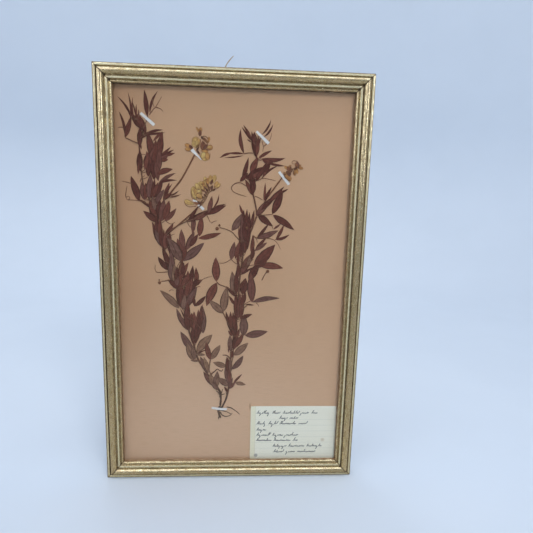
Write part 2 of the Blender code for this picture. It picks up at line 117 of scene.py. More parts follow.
def number(tree, operation, first, second=0.0, kind="ShaderNodeMath", gives="Value"):
    """A math node's result."""
    made = put(tree, kind, {"operation": operation})
    plug(tree, made.inputs[0], first)
    plug(tree, made.inputs[1], second)
    return made.outputs[gives]


def vectors(tree, operation, first, second, gives="Vector"):
    """A vector math node's result."""
    return number(tree, operation, first, second, "ShaderNodeVectorMath", gives)


def plus(tree, first, second):
    """The sum of two values."""
    return number(tree, "ADD", first, second)


def times(tree, first, second):
    """The product of two values."""
    return number(tree, "MULTIPLY", first, second)


def blended(tree, share, first, second, blend="MIX"):
    """Two colours blended by a share that is a number or a socket."""
    made = put(tree, "ShaderNodeMix", {"data_type": "RGBA", "blend_type": blend})
    for count, value in ((0, share), (6, first), (7, second)):
        plug(tree, made.inputs[count], value)
    return made.outputs[2]


def stained(tree, colour, mask, most, stain):
    """A colour with a stain over it where the mask is 1, as strong there as most says."""
    return blended(tree, times(tree, mask, most), colour, stain)


def ranged(tree, value, low, high, to_low=0.0, to_high=1.0):
    """A value mapped smoothly from one range to another."""
    kind, smooth = "ShaderNodeMapRange", {"interpolation_type": "SMOOTHSTEP"}
    ends = {"From_Min": low, "From_Max": high, "To_Min": to_low, "To_Max": to_high}
    return put(tree, kind, smooth, Value=value, **ends).outputs[0]


def clouds(tree, vector, scale, detail, roughness=0.5, distortion=0.0):
    """A noise texture's grey value."""
    looks = {"Scale": scale, "Detail": detail, "Roughness": roughness, "Distortion": distortion}
    return put(tree, "ShaderNodeTexNoise", Vector=vector, **looks).outputs[0]


def split(tree, vector):
    """The three parts of a vector."""
    return put(tree, "ShaderNodeSeparateXYZ", Vector=vector).outputs


def position(tree):
    """Where a point lies on the object, in metres."""
    return put(tree, "ShaderNodeTexCoord").outputs["Object"]


def group(name, takes, gives):
    """An empty shader group of numbers, with the sockets at its two ends."""
    made = bpy.data.node_groups.new(name, "ShaderNodeTree")
    for socket_name, value in takes.items():
        socket = made.interface.new_socket(name=socket_name, in_out="INPUT", socket_type="NodeSocketFloat")
        socket.default_value = value
    for socket_name in gives:
        made.interface.new_socket(name=socket_name, in_out="OUTPUT", socket_type="NodeSocketFloat")
    return made, made.nodes.new("NodeGroupInput").outputs, made.nodes.new("NodeGroupOutput").inputs


def use(tree, effect, **inputs):
    """Places a group in a material with its own values: returns what it gives."""
    return put(tree, "ShaderNodeGroup", {"node_tree": effect}, **inputs).outputs


def new_material(name, roughness=0.8):
    """A material with its Principled shader: returns the material, its nodes and the shader."""
    made = bpy.data.materials.new(name)
    made.use_nodes = True
    shader = made.node_tree.nodes["Principled BSDF"]
    shader.inputs["Roughness"].default_value = roughness
    return made, made.node_tree, shader


def dress(tree, shader, colour, height, distance, strength=1.0):
    """Feeds a colour, and a height in shares of distance in metres as a bump, to a shader."""
    plug(tree, shader.inputs["Base Color"], colour)
    bump = put(tree, "ShaderNodeBump", Height=height, Distance=distance, Strength=strength)
    plug(tree, shader.inputs["Normal"], bump.outputs[0])


def smooth_route(points, spacing):
    """Evenly spaced points on a smooth curve through the given ones."""
    nodes = [Vector(p) for p in points]
    ends = [2 * nodes[0] - nodes[1]] + nodes + [2 * nodes[-1] - nodes[-2]]
    fine = []
    for a, b, c, d in zip(ends, ends[1:], ends[2:], ends[3:]):
        before, here, after = ((q - p).length ** 0.5 for p, q in ((a, b), (b, c), (c, d)))
        leave = ((b - a) / before - (c - a) / (before + here) + (c - b) / here) * here
        arrive = ((c - b) / here - (d - b) / (here + after) + (d - c) / after) * here
        for k in range(16):
            t = k / 16
            start = b * (2 * t**3 - 3 * t**2 + 1) + leave * (t**3 - 2 * t**2 + t)
            fine.append(start + c * (3 * t**2 - 2 * t**3) + arrive * (t**3 - t**2))
    fine.append(nodes[-1])
    total = sum((q - p).length for p, q in zip(fine, fine[1:]))
    count = max(2, round(total / spacing))
    route, gone, aim = [fine[0]], 0.0, 1
    for p, q in zip(fine, fine[1:]):
        step = (q - p).length
        while aim < count and gone + step >= total * aim / count:
            route.append(p.lerp(q, (total * aim / count - gone) / step))
            aim += 1
        gone += step
    route.append(fine[-1])
    return route


def piece(name, points, faces, look, stands_for=(), sharp=40.0, grain=None, second=None):
    """One piece of the object as a smooth-shaded mesh, from points in millimetres.

    grain is a vector for each point that its material reads, and second is another material
    with the numbers of the faces that have it.
    """
    mesh = bpy.data.meshes.new(name)
    mesh.from_pydata((np.asarray(points, float) * MM).tolist(), [], faces)
    mesh.materials.append(look)
    if second:
        mesh.materials.append(second[0])
        for face in second[1]:
            mesh.polygons[face].material_index = 1
    if grain is not None:
        layer = mesh.attributes.new("grain", "FLOAT_VECTOR", "POINT")
        layer.data.foreach_set("vector", np.asarray(grain, np.float32).ravel())
    mesh.shade_smooth()
    mesh.set_sharp_from_angle(angle=math.radians(sharp))
    made = bpy.data.objects.new(name, mesh)
    bpy.context.scene.collection.objects.link(made)
    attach(made, "root")
    if stands_for:
        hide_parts(*stands_for)
    return made


def rings_joined(rings, sides, closed_ends=True, first=0):
    """The faces of a tube whose rings of points follow each other."""
    faces = []
    for k in range(rings - 1):
        for i in range(sides):
            j = (i + 1) % sides
            low, high = first + k * sides, first + (k + 1) * sides
            faces.append((low + i, low + j, high + j, high + i))
    if closed_ends:
        last = first + (rings - 1) * sides
        faces.append(tuple(range(first + sides - 1, first - 1, -1)))
        faces.append(tuple(range(last, last + sides)))
    return faces


def swept(route, section):
    """Points of a tube along a route. section gives the ring as (side, up) for a step and place."""
    count = len(route)
    points = []
    up = (route[1] - route[0]).normalized().orthogonal().normalized()
    for k in range(count):
        way = (route[min(k + 1, count - 1)] - route[max(k - 1, 0)]).normalized()
        up = (up - way * up.dot(way)).normalized()
        side = way.cross(up)
        for a, b in section(k, k / (count - 1)):
            points.append(route[k] + side * a + up * b)
    return points


def strands(step, taper_end=0.0):
    """The section of a three-strand cord, turning as it goes along."""

    def section(k, place):
        turn = math.tau * k * step / CORD_LAY
        size = CORD_R
        if taper_end and place > 1 - taper_end:
            size = CORD_R * (1.0 - 0.35 * (place - 1 + taper_end) / taper_end)
        ring = []
        for i in range(STRAND_SIDES):
            a = math.tau * i / STRAND_SIDES
            hollow = abs(math.sin(1.5 * (a - turn)))
            radius = size * (1.0 - 0.3 * (1.0 - hollow**0.8) ** 2)
            ring.append((radius * math.cos(a), radius * math.sin(a)))
        return ring

    return section


# Spots and clouds of any size, for fibres, wear, rust and pits.
SPECKLE, takes, gives = group("speckle", {"Scale": 800.0, "Low": 0.4, "High": 0.7}, ["Mask"])
spots = clouds(SPECKLE, position(SPECKLE), takes["Scale"], 3.0, 0.6)
plug(SPECKLE, gives["Mask"], ranged(SPECKLE, spots, takes["Low"], takes["High"]))

LINEN, tree, shader = new_material("waxed_linen", 0.62)
fibre = use(tree, SPECKLE, Scale=2600.0, Low=0.35, High=0.7)[0]
worn = use(tree, SPECKLE, Scale=180.0, Low=0.4, High=0.65)[0]
colour = blended(tree, fibre, (0.34, 0.25, 0.15), (0.62, 0.51, 0.35))
colour = stained(tree, colour, worn, 0.55, (0.24, 0.17, 0.10))
dress(tree, shader, colour, fibre, 0.00006)


def cord(name, run, taper_end=0.0):
    """One length of the cord, laid from three strands."""
    route = smooth_route([(x, CORD_Y, z) for x, z in run], CORD_STEP)
    points = swept(route, strands(CORD_STEP, taper_end))
    faces = rings_joined(len(route), STRAND_SIDES)
    made = piece(name, points, faces, LINEN, (name,))


def knot(name, centre, along, size):
    """A tight overhand knot: the cord's own thickness following a pretzel."""
    way = Vector((along[0], 0, along[1])).normalized()
    side = Vector((way.z, 0, -way.x))
    middle = Vector((centre[0], CORD_Y, centre[1]))
    route = []
    for k in range(KNOT_STEPS + 1):
        t = math.tau * k / KNOT_STEPS
        a = (math.sin(t) + 2 * math.sin(2 * t)) / 3
        b = (math.cos(t) - 2 * math.cos(2 * t)) / 3
        route.append(middle + way * a * size + side * b * size + Vector((0, -0.62 * math.sin(3 * t), 0)))
    step = sum((q - p).length for p, q in zip(route, route[1:])) / KNOT_STEPS
    points = swept(route, strands(step))
    return piece(name, points, rings_joined(len(route), STRAND_SIDES), LINEN, (name,))


nail_knot = knot("cord_knot", KNOT_AT, SLOPE, 1.35)
for name, run, side in (("eye_knot_left", LEFT_RUN, 1), ("eye_knot_right", RIGHT_RUN, -1)):
    away = (-side * SLOPE[0], -SLOPE[1])
    place = (run[0][0] + away[0] * 2.2, run[0][1] + away[1] * 2.2)
    knot(name, place, away, 1.6)
cord("cord_left", LEFT_RUN)
cord("cord_right", RIGHT_RUN)
cord("cord_tail", TAIL, taper_end=0.12)

# ---------------------------------------------------------------------------------------------
# The screw eyes
# Bent from one piece of steel wire: a ring that closes against its own shank, and a threaded
# shank screwed into the back of each stile. The cord's stopper knot sits behind the ring.

FRAME_W = 268.8
FRAME_H = 428.0
MOULDING_W = 18.4
REBATE_W = 5.0
BACK_WIDTH = MOULDING_W - REBATE_W
BACK_Y = 8.0
EYE_X = FRAME_W / 2 - 7.15
EYE_Z = 333.0
EYE_RING_R = 2.8
EYE_WIRE_R = 0.7
EYE_TIP_Y = 2.0
THREAD_PITCH = 1.1
THREAD_LENGTH = 5.6

STEEL, tree, shader = new_material("dull_steel", 0.35)
shader.inputs["Metallic"].default_value = 1.0
rust = use(tree, SPECKLE, Scale=900.0, Low=0.5, High=0.72)[0]
haze = use(tree, SPECKLE, Scale=260.0, Low=0.35, High=0.7)[0]
colour = blended(tree, haze, (0.46, 0.44, 0.41), (0.30, 0.28, 0.25))
colour = blended(tree, rust, colour, (0.16, 0.08, 0.04))
plug(tree, shader.inputs["Roughness"], ranged(tree, haze, 0.0, 1.0, 0.28, 0.55))
dress(tree, shader, colour, rust, 0.00004)


def circle(radius, sides):
    """The ring of a round wire."""
    turns = [math.tau * i / sides for i in range(sides)]
    return [(radius * math.cos(a), radius * math.sin(a)) for a in turns]


for name, x in (("screw_eye_left", -EYE_X), ("screw_eye_right", EYE_X)):
    bend = [(EYE_TIP_Y, 0.0), (5.0, 0.0), (7.6, 0.0), (8.8, 0.1)]
    for k in range(1, 27):
        a = math.radians(12.6 * k)
        bend.append((CORD_Y - EYE_RING_R * math.cos(a), EYE_RING_R * math.sin(a)))
    route = smooth_route([(x, y, EYE_Z + z) for y, z in bend], 0.3)

    def wire(k, place):
        depth = route[k].y - EYE_TIP_Y
        radius = EYE_WIRE_R
        if depth < THREAD_LENGTH and k < 24:
            thread = abs((depth / THREAD_PITCH) % 1.0 - 0.5) * 2
            radius = min(0.16 + depth * 0.5, 0.68 + 0.22 * thread)
        if place > 0.985:
            radius = EYE_WIRE_R * 0.8
        return circle(radius, 14)

    piece(name, swept(route, wire), rings_joined(len(route), 14), STEEL, (name,))

# ---------------------------------------------------------------------------------------------
# The frame's four rails
# Machined softwood moulding, 18.4 by 16 mm, mitred at the corners. Its face is gessoed and gilded with pale
# gold over a thin coat of size, rubbed brown in the hollows and worn in spots, with painted shade darkening
# its outer edge, the lip's inner wall and some grooves.

MITRE_GAP = 0.12  # what a glued mitre opens to over the years
STATION = 1.5  # spacing of the points along a rail


def arc(centre, radius, start, end, steps):
    """Points on a circle from one angle to another, in degrees."""
    points = []
    for i in range(steps + 1):
        a = math.radians(start + (end - start) * i / steps)
        points.append((centre[0] + radius * math.cos(a), centre[1] + radius * math.sin(a)))
    return points


# The section: distance in from the outer edge, height above the back. It runs up the outer
# side, over the rounded edge, the fillet, the round, the step, the cove and the bead, and
# down the lip's inner wall.
outer_side = [(0.0, 0.5 + 11.1 * i / 7) for i in range(7)]
outer_edge = arc((1.2, 11.5), 1.2, 180, 98, 7)
outer_fillet = [(1.7, 12.78)] + arc((2.1, 12.75), 0.35, 140, 90, 2) + arc((2.8, 12.7), 0.4, 90, 0, 4)
outer_quirk = places("3.25 12.2  3.35 11.8  3.6 11.5  3.9 11.55  4.12 11.9")
torus = arc((7.5, 12.8), 3.2, 184, -4, 30)
inner_quirk = places("10.8 12.3  10.9 11.95  11.15 11.75  11.5 11.72  11.85 11.85  12 12.2")
step_edge = arc((12.4, 12.65), 0.35, 180, 90, 4) + [(13.1, 13.0)] + arc((13.75, 12.55), 0.45, 90, 0, 5)
cove = arc((16.9, 12.3), 2.6, 184, 224, 7)
sight_bead = arc((16.35, 10.6), 0.9, 165, -12, 10)
inner_wall = places("17.5 9.9  17.95 9.15  18.33 8.6  18.4 8.35")
PROFILE = outer_side + outer_edge + outer_fillet + outer_quirk + torus + inner_quirk + step_edge + cove
PROFILE += sight_bead + inner_wall
GILDED = len(PROFILE)  # past here the wood is bare
PROFILE += places("18.25 8.2  18 8.2  13.5 8.2  13.4 8.1  13.4 4  13.4 0.2  13.2 0")
PROFILE += places("9 0  4 0  0.5 0  0.15 0.12")
GIRTH = [0.0]  # how far each point lies from the first, round the section
for here, there in zip(PROFILE, PROFILE[1:]):
    GIRTH.append(GIRTH[-1] + math.dist(here, there))
SIGHT_EDGE = GIRTH[GILDED - 5]  # from here on the size under the leaf shows brown
SHADED = 4.0  # the top rail's inner wall faces down and keeps the dark glaze as painted shade

# Where the section is hollow and holds brown glaze, where the rounded outer edge and the lip's inner wall
# are glazed dark, partly as painted shade,
# and where an edge is rubbed pale (minus): distance in from the outer edge, half width and depth.
RELIEF = [(0.3, 0.6, 1.2), (9.9, 0.9, 0.2), (15.1, 0.6, 0.6), (17.95, 0.6, 1.2)]
RELIEF += [(2.2, 0.8, -1.6), (13.15, 0.85, -1.5), (16.4, 0.35, -0.5)]
# The outer and the inner groove hold brown glaze, made deeper on some sides as painted shade, most in the
# left stile's outer and the right stile's inner groove.
GROOVE_GLAZE_AND_SHADE = {"top": (0.55, 0.6), "bottom": (0.4, 0.55), "left": (1.7, 0.65), "right": (0.9, 1.0)}


def relief_of(inward, height, side):
    """How brown (plus) or how rubbed (minus) the gilding is at a place of the section, with painted shade in
    its grooves, on its outer edge and on the lip's inner wall.
    """
    if inward < 0.1:
        return 0.7 - 0.3 * height / 12.3
    outer, inner = GROOVE_GLAZE_AND_SHADE[side]
    marks = RELIEF + [(3.5, 0.6, outer), (11.3, 0.6, inner)]
    return sum(depth * math.exp(-(((inward - centre) / width) ** 2)) for centre, width, depth in marks)


def rail(name, side, seed):
    """One mitred length of moulding with the small unevenness of a gilded surface."""
    count = len(PROFILE)
    half = FRAME_W / 2 if side in ("top", "bottom") else FRAME_H / 2
    # The stations are spread evenly at every depth, and crowd together by the mitres.
    inner = [k / round(2 * half / STATION) for k in range(round(2 * half / STATION) + 1)]
    shares = sorted(inner + [0.0006, 0.0013, 0.0024, 0.0038, 0.9962, 0.9976, 0.9987, 0.9994])
    points, grain = [], []
    for share in shares:
        for i, (inward, height) in enumerate(PROFILE):
            along = (2 * share - 1) * (half - inward - MITRE_GAP)
            from_mitre = half - inward - abs(along)
            if i < GILDED:
                slow = noise.noise(Vector((along / 34.0, inward / 4.0, seed)))
                quick = noise.noise(Vector((along / 7.0, inward / 1.6, seed + 9.0)))
                swell = (0.05 * slow + 0.03 * quick) * (1.0 if 4.4 < inward < 10.7 else 0.3)
                rubbed = 0.10 * math.exp(-from_mitre / 0.5)  # the mitre's edges
                depth = relief_of(inward, height, side)
            else:
                swell = 0.04 * noise.noise(Vector((along / 20.0, i * 0.7, seed)))
                rubbed = 0.0
                depth = 0.3
            y = BACK_Y - height + (rubbed - swell if height > 1.0 and inward > 0.3 else 0.0)
            u = inward + (0.5 * swell if inward < 0.3 else 0.0)
            if side == "top":
                points.append((along, y, FRAME_H - u))
            elif side == "bottom":
                points.append((along, y, u))
            elif side == "left":
                points.append((u - FRAME_W / 2, y, FRAME_H / 2 + along))
            else:
                points.append((FRAME_W / 2 - u, y, FRAME_H / 2 + along))
            depth += (1.6 - depth) * math.exp(-((from_mitre / 0.65) ** 2))
            grain.append((along + 1000 * seed, GIRTH[i] - (SHADED if side == "top" else 0.0), depth))
    faces = rings_joined(len(shares), count)
    if side in ("top", "left"):
        faces = [face[::-1] for face in faces]
    bare = [f for f, face in enumerate(faces[:-2]) if min(v % count for v in face) >= GILDED]
    piece(name, points, faces, GILT, (name,), 42.0, grain, (BARE_WOOD, bare))


def grain_in(tree):
    """The grain given to each point: along, across, and the depth or the tone."""
    return split(tree, put(tree, "ShaderNodeAttribute", {"attribute_name": "grain"}).outputs["Vector"])


# Streaks and blotches that follow the rail, for the gilding and for the bare wood.
LENGTHWISE, takes, gives = group(
    "lengthwise_marks", {"Along": 4.0, "Across": 1.0, "Low": 0.4, "High": 0.6}, ["Mask"]
)
along, across, depth = grain_in(LENGTHWISE)
along = number(LENGTHWISE, "DIVIDE", along, takes["Along"])
across = number(LENGTHWISE, "DIVIDE", across, takes["Across"])
stretched = put(LENGTHWISE, "ShaderNodeCombineXYZ", X=along, Y=across).outputs[0]
marks = clouds(LENGTHWISE, stretched, 1.0, 4.0, 0.55)
plug(LENGTHWISE, gives["Mask"], ranged(LENGTHWISE, marks, takes["Low"], takes["High"]))

GILT, tree, shader = new_material("pale_gilding", 0.3)
girth, relief = grain_in(tree)[1:3]
patches = use(tree, LENGTHWISE, Along=7.0, Across=2.4, Low=0.36, High=0.66)[0]
dabs = use(tree, LENGTHWISE, Along=2.2, Across=0.9, Low=0.45, High=0.62)[0]
brushed = use(tree, LENGTHWISE, Along=45.0, Across=0.45, Low=0.3, High=0.7)[0]
bare = use(tree, LENGTHWISE, Along=26.0, Across=6.0, Low=0.42, High=0.62)[0]
pits = use(tree, SPECKLE, Scale=1500.0, Low=0.62, High=0.72)[0]
colour = blended(tree, patches, (0.46, 0.35, 0.18), (0.79, 0.735, 0.50))
colour = stained(tree, colour, bare, 0.5, (0.74, 0.60, 0.41))
colour = stained(tree, colour, dabs, 0.35, (0.90, 0.85, 0.66))
colour = stained(tree, colour, brushed, 0.3, (0.36, 0.28, 0.16))
glaze = ranged(tree, plus(tree, relief, times(tree, patches, -0.25)), 0.12, 0.85, 0.0, 0.94)
worn = ranged(tree, plus(tree, relief, times(tree, dabs, 0.3)), -0.95, -0.35, 0.9, 0.0)
bright = times(tree, worn, ranged(tree, patches, 0.0, 1.0, 0.68, 0.97))
colour = blended(tree, bright, colour, (0.62, 0.58, 0.38))
# Past the sight edge the glaze is brown, but the top rail's inner wall, shifted by SHADED, keeps the dark
# glaze as painted shade.
wall = ranged(tree, girth, SIGHT_EDGE - 0.6, SIGHT_EDGE + 0.4)
colour = blended(tree, glaze, colour, blended(tree, wall, (0.085, 0.052, 0.028), (0.20, 0.105, 0.045)))
colour = stained(tree, colour, pits, 0.7, (0.16, 0.08, 0.04))
metal = number(tree, "SUBTRACT", ranged(tree, patches, 0.0, 1.0, 0.74, 0.9), times(tree, glaze, 0.5))
plug(tree, shader.inputs["Metallic"], number(tree, "SUBTRACT", metal, times(tree, worn, 0.75)))
rough = plus(tree, ranged(tree, patches, 0.0, 1.0, 0.30, 0.17), times(tree, glaze, 0.3))
plug(tree, shader.inputs["Roughness"], plus(tree, rough, times(tree, worn, 0.12)))
height = plus(tree, times(tree, dabs, 0.3), times(tree, brushed, 0.45))
dress(tree, shader, colour, number(tree, "SUBTRACT", height, pits), 0.00004, 0.8)

BARE_WOOD, tree, shader = new_material("bare_softwood", 0.75)
rings = use(tree, LENGTHWISE, Along=60.0, Across=0.9, Low=0.35, High=0.65)[0]
soil = use(tree, LENGTHWISE, Along=14.0, Across=5.0, Low=0.42, High=0.62)[0]
colour = blended(tree, rings, (0.40, 0.25, 0.13), (0.56, 0.39, 0.22))
colour = stained(tree, colour, soil, 0.5, (0.22, 0.13, 0.07))
dress(tree, shader, colour, rings, 0.00008)

rail("top_rail", "top", 1.0)
rail("bottom_rail", "bottom", 2.0)
rail("left_stile", "left", 3.0)
rail("right_stile", "right", 4.0)

# ---------------------------------------------------------------------------------------------
# The backing board and its brads
# Grey-brown strawboard cut to the rebate, held by eight headless brads driven sideways into
# the rebate's wall, so that half of each lies over the board.

BOARD_FRONT = 4.4
BOARD_BACK = 6.4
PANE_X = 120.4
PANE_LOW = 14.0
PANE_HIGH = 414.0
BRAD_SUNK = 4.5
BRAD_Y = BOARD_BACK + 0.75
# A brad from its point to its blunt end: how far along, and its radius there.
BRAD_SHAPE = places("0 0.12  0.5 0.3  1 0.4  4.5 0.4  8.2 0.4  8.7 0.46  8.9 0.48  9 0.4")


def sheet_faces(wide, tall):
    """The faces of a closed sheet, whose points are a grid in front and then one behind."""
    count = wide * tall
    faces = []
    for j in range(tall - 1):
        for i in range(wide - 1):
            a = j * wide + i
            faces.append((a, a + 1, a + 1 + wide, a + wide))
            faces.append((count + a, count + a + wide, count + a + wide + 1, count + a + 1))
    rim = list(range(wide)) + [wide - 1 + j * wide for j in range(1, tall)]
    rim += [(tall - 1) * wide + i for i in range(wide - 2, -1, -1)]
    rim += [j * wide for j in range(tall - 2, 0, -1)]
    for a, b in zip(rim, rim[1:] + rim[:1]):
        faces.append((b, a, count + a, count + b))
    return faces


def slab(name, low, high, columns, rows, wave, look, seed, corner=0.0):
    """A thin sheet with its own slight unevenness: low and high are opposite corners."""
    (x0, front, z0), (x1, back, z1) = low, high
    points = []
    for y in (front, back):
        for j in range(rows + 1):
            for i in range(columns + 1):
                x, z = x0 + (x1 - x0) * i / columns, z0 + (z1 - z0) * j / rows
                lift = wave * noise.noise(Vector((x / 38.0, z / 52.0, seed)))
                at_corner = i in (0, columns) and j in (0, rows)
                pull = corner if at_corner else 0.0
                points.append((x + pull * (1 if i == 0 else -1), y + lift, z + pull * (1 if j == 0 else -1)))
    return piece(name, points, sheet_faces(columns + 1, rows + 1), look, (name,), 30.0)


# Fibres and flecks in paper and board, seen as colour and felt as height.
PAPER_FIBRES, takes, gives = group("paper_fibres", {"Fineness": 900.0}, ["Fibre", "Cloud", "Fleck"])
where = position(PAPER_FIBRES)
plug(PAPER_FIBRES, gives["Fibre"], clouds(PAPER_FIBRES, where, takes["Fineness"], 5.0, 0.7, 1.2))
plug(PAPER_FIBRES, gives["Cloud"], ranged(PAPER_FIBRES, clouds(PAPER_FIBRES, where, 26.0, 3.0), 0.3, 0.7))
flecks = clouds(PAPER_FIBRES, where, times(PAPER_FIBRES, takes["Fineness"], 0.45), 2.0)
plug(PAPER_FIBRES, gives["Fleck"], ranged(PAPER_FIBRES, flecks, 0.68, 0.78))

STRAWBOARD, tree, shader = new_material("strawboard", 0.9)
fibres = use(tree, PAPER_FIBRES, Fineness=700.0)
colour = blended(tree, fibres["Fibre"], (0.34, 0.21, 0.11), (0.60, 0.43, 0.25))
colour = stained(tree, colour, fibres["Cloud"], 0.4, (0.30, 0.21, 0.13))
colour = stained(tree, colour, fibres["Fleck"], 0.7, (0.58, 0.50, 0.36))
dress(tree, shader, colour, fibres["Fibre"], 0.0002, 0.6)
low, high = (-PANE_X, BOARD_FRONT, PANE_LOW), (PANE_X, BOARD_BACK, PANE_HIGH)
slab("backing_board", low, high, 40, 60, 0.12, STRAWBOARD, 5.0, 0.5)

brad_wall = FRAME_W / 2 - BACK_WIDTH
brads = []
for count, z in enumerate((110.0, 320.0), 1):
    brads.append((f"brad_left_{count}", (-brad_wall, z), (1, 0)))
    brads.append((f"brad_right_{count}", (brad_wall, z), (-1, 0)))
for count, x in enumerate((-62.0, 62.0), 1):
    brads.append((f"brad_top_{count}", (x, FRAME_H - BACK_WIDTH), (0, -1)))
    brads.append((f"brad_bottom_{count}", (x, BACK_WIDTH), (0, 1)))
for name, (x, z), (dx, dz) in brads:
    start = Vector((x - dx * BRAD_SUNK, BRAD_Y, z - dz * BRAD_SUNK))
    route = [start + Vector((dx, 0, dz)) * far for far, _ in BRAD_SHAPE]
    points = swept(route, lambda k, place: circle(BRAD_SHAPE[k][1], 12))
    piece(name, points, rings_joined(len(route), 12), STEEL, (name,))

# ---------------------------------------------------------------------------------------------
# The tan sheet
# Thick tan mounting paper, 240 by 400 mm, darker by its left edge and paler low down and to the right,
# and slightly cockled by the damp of the plant that was pressed on it.

SHEET_X = 120.0
SHEET_FRONT = 3.8
SHEET_BACK = 4.1
SHEET_LOW = 14.0
SHEET_HIGH = 414.0

TAN_PAPER, tree, shader = new_material("tan_paper", 0.85)
fibres = use(tree, PAPER_FIBRES, Fineness=1100.0)
colour = blended(tree, fibres["Fibre"], (0.525, 0.292, 0.163), (0.62, 0.349, 0.197))
colour = stained(tree, colour, fibres["Cloud"], 0.22, (0.52, 0.322, 0.193))
colour = stained(tree, colour, fibres["Fleck"], 0.25, (0.40, 0.25, 0.15))
where = position(tree)
across, _, upward = split(tree, where)
# Paler low down and to the right, darker by the left edge.
foot = ranged(tree, upward, 0.06, 0.22, 0.75, 0.0)
colour = blended(tree, foot, colour, (0.70, 0.437, 0.292))
by_edge = ranged(tree, across, -0.118, -0.055, 0.8, 0.0)
colour = stained(tree, colour, by_edge, number(tree, "SUBTRACT", 1.0, foot), (0.49, 0.252, 0.132))
colour = blended(tree, ranged(tree, across, 0.0, 0.11, 0.0, 0.55), colour, (0.65, 0.383, 0.234))
drawn = vectors(tree, "MULTIPLY", where, (90.0, 1.0, 1100.0))
laid_lines = ranged(tree, clouds(tree, drawn, 1.0, 3.0), 0.45, 0.7, 0.0, 0.2)
colour = blended(tree, laid_lines, colour, (0.47, 0.27, 0.155))
# A narrow brown mark of a drip beside the label's upper left corner.
squeezed = vectors(tree, "MULTIPLY", where, (2.6, 1.0, 0.6))
away = vectors(tree, "DISTANCE", squeezed, (0.0200 * 2.6, 0.0038, 0.0795 * 0.6), "Value")
colour = blended(tree, ranged(tree, away, 0.0006, 0.0036, 0.75, 0.0), colour, (0.34, 0.19, 0.10))
dress(tree, shader, colour, fibres["Fibre"], 0.00012, 0.5)
low, high = (-SHEET_X, SHEET_FRONT, SHEET_LOW), (SHEET_X, SHEET_BACK, SHEET_HIGH)
slab("mount_sheet", low, high, 60, 96, 0.05, TAN_PAPER, 6.0)

# ---------------------------------------------------------------------------------------------
# The label
# A pale card, 95.5 by 64 mm, with faint ruled lines and a margin, glued on low at the right.
# What was written on it is left out: wavy strokes of faded ink stand in its place.

LABEL_LEFT = 21.0
LABEL_RIGHT = 116.5
LABEL_LOW = 16.0
LABEL_HIGH = 80.0
LABEL_FRONT = 3.25
LABEL_BACK = 3.5
RULED_FROM = 36.3
RULED_STEP = 6.9
MARGIN_X = 26.2
PEN_HALF = 0.19  # half the width of a pen line

LABEL_CARD, tree, shader = new_material("label_card", 0.7)
fibres = use(tree, PAPER_FIBRES, Fineness=1500.0)
colour = blended(tree, fibres["Fibre"], (0.87, 0.81, 0.67), (0.96, 0.89, 0.76))
colour = stained(tree, colour, fibres["Cloud"], 0.18, (0.82, 0.75, 0.58))
where = position(tree)
across, _, upward = split(tree, where)
row = number(tree, "DIVIDE", number(tree, "SUBTRACT", upward, RULED_FROM * MM), RULED_STEP * MM)
from_line = number(tree, "ABSOLUTE", number(tree, "SUBTRACT", row, number(tree, "ROUND", row)))
above_last = number(tree, "GREATER_THAN", upward, (RULED_FROM - 14.5) * MM)
below_first = number(tree, "LESS_THAN", upward, (RULED_FROM + 4.5 * RULED_STEP) * MM)
ruled = times(tree, ranged(tree, from_line, 0.025, 0.055, 0.24, 0.0), times(tree, above_last, below_first))
colour = blended(tree, ruled, colour, (0.44, 0.45, 0.38))
from_margin = number(tree, "ABSOLUTE", number(tree, "SUBTRACT", across, MARGIN_X * MM))
colour = blended(tree, ranged(tree, from_margin, 0.0002, 0.0004, 0.4, 0.0), colour, (0.52, 0.42, 0.30))
strip = number(tree, "LESS_THAN", across, MARGIN_X * MM)
colour = stained(tree, colour, strip, 0.6, (0.83, 0.75, 0.52))
SPOTS = [(102.4, 39.3, 2.8, 0.4, (0.55, 0.38, 0.22)), (27.6, 20.8, 2.7, 0.75, (0.27, 0.26, 0.27))]
for x, z, radius, depth, stain in SPOTS:
    away = vectors(tree, "DISTANCE", where, (x * MM, LABEL_FRONT * MM, z * MM), "Value")
    colour = blended(tree, ranged(tree, away, 0.5 * radius * MM, radius * MM, depth, 0.0), colour, stain)
dress(tree, shader, colour, fibres["Fibre"], 0.00006, 0.5)
low, high = (LABEL_LEFT, LABEL_FRONT, LABEL_LOW), (LABEL_RIGHT, LABEL_BACK, LABEL_HIGH)
slab("label_card", low, high, 24, 16, 0.03, LABEL_CARD, 7.0, 0.3)

INK, tree, shader = new_material("faded_ink", 0.6)
faded = use(tree, SPECKLE, Scale=700.0, Low=0.35, High=0.7)[0]
plug(tree, shader.inputs["Base Color"], blended(tree, faded, (0.032, 0.034, 0.052), (0.085, 0.085, 0.10)))

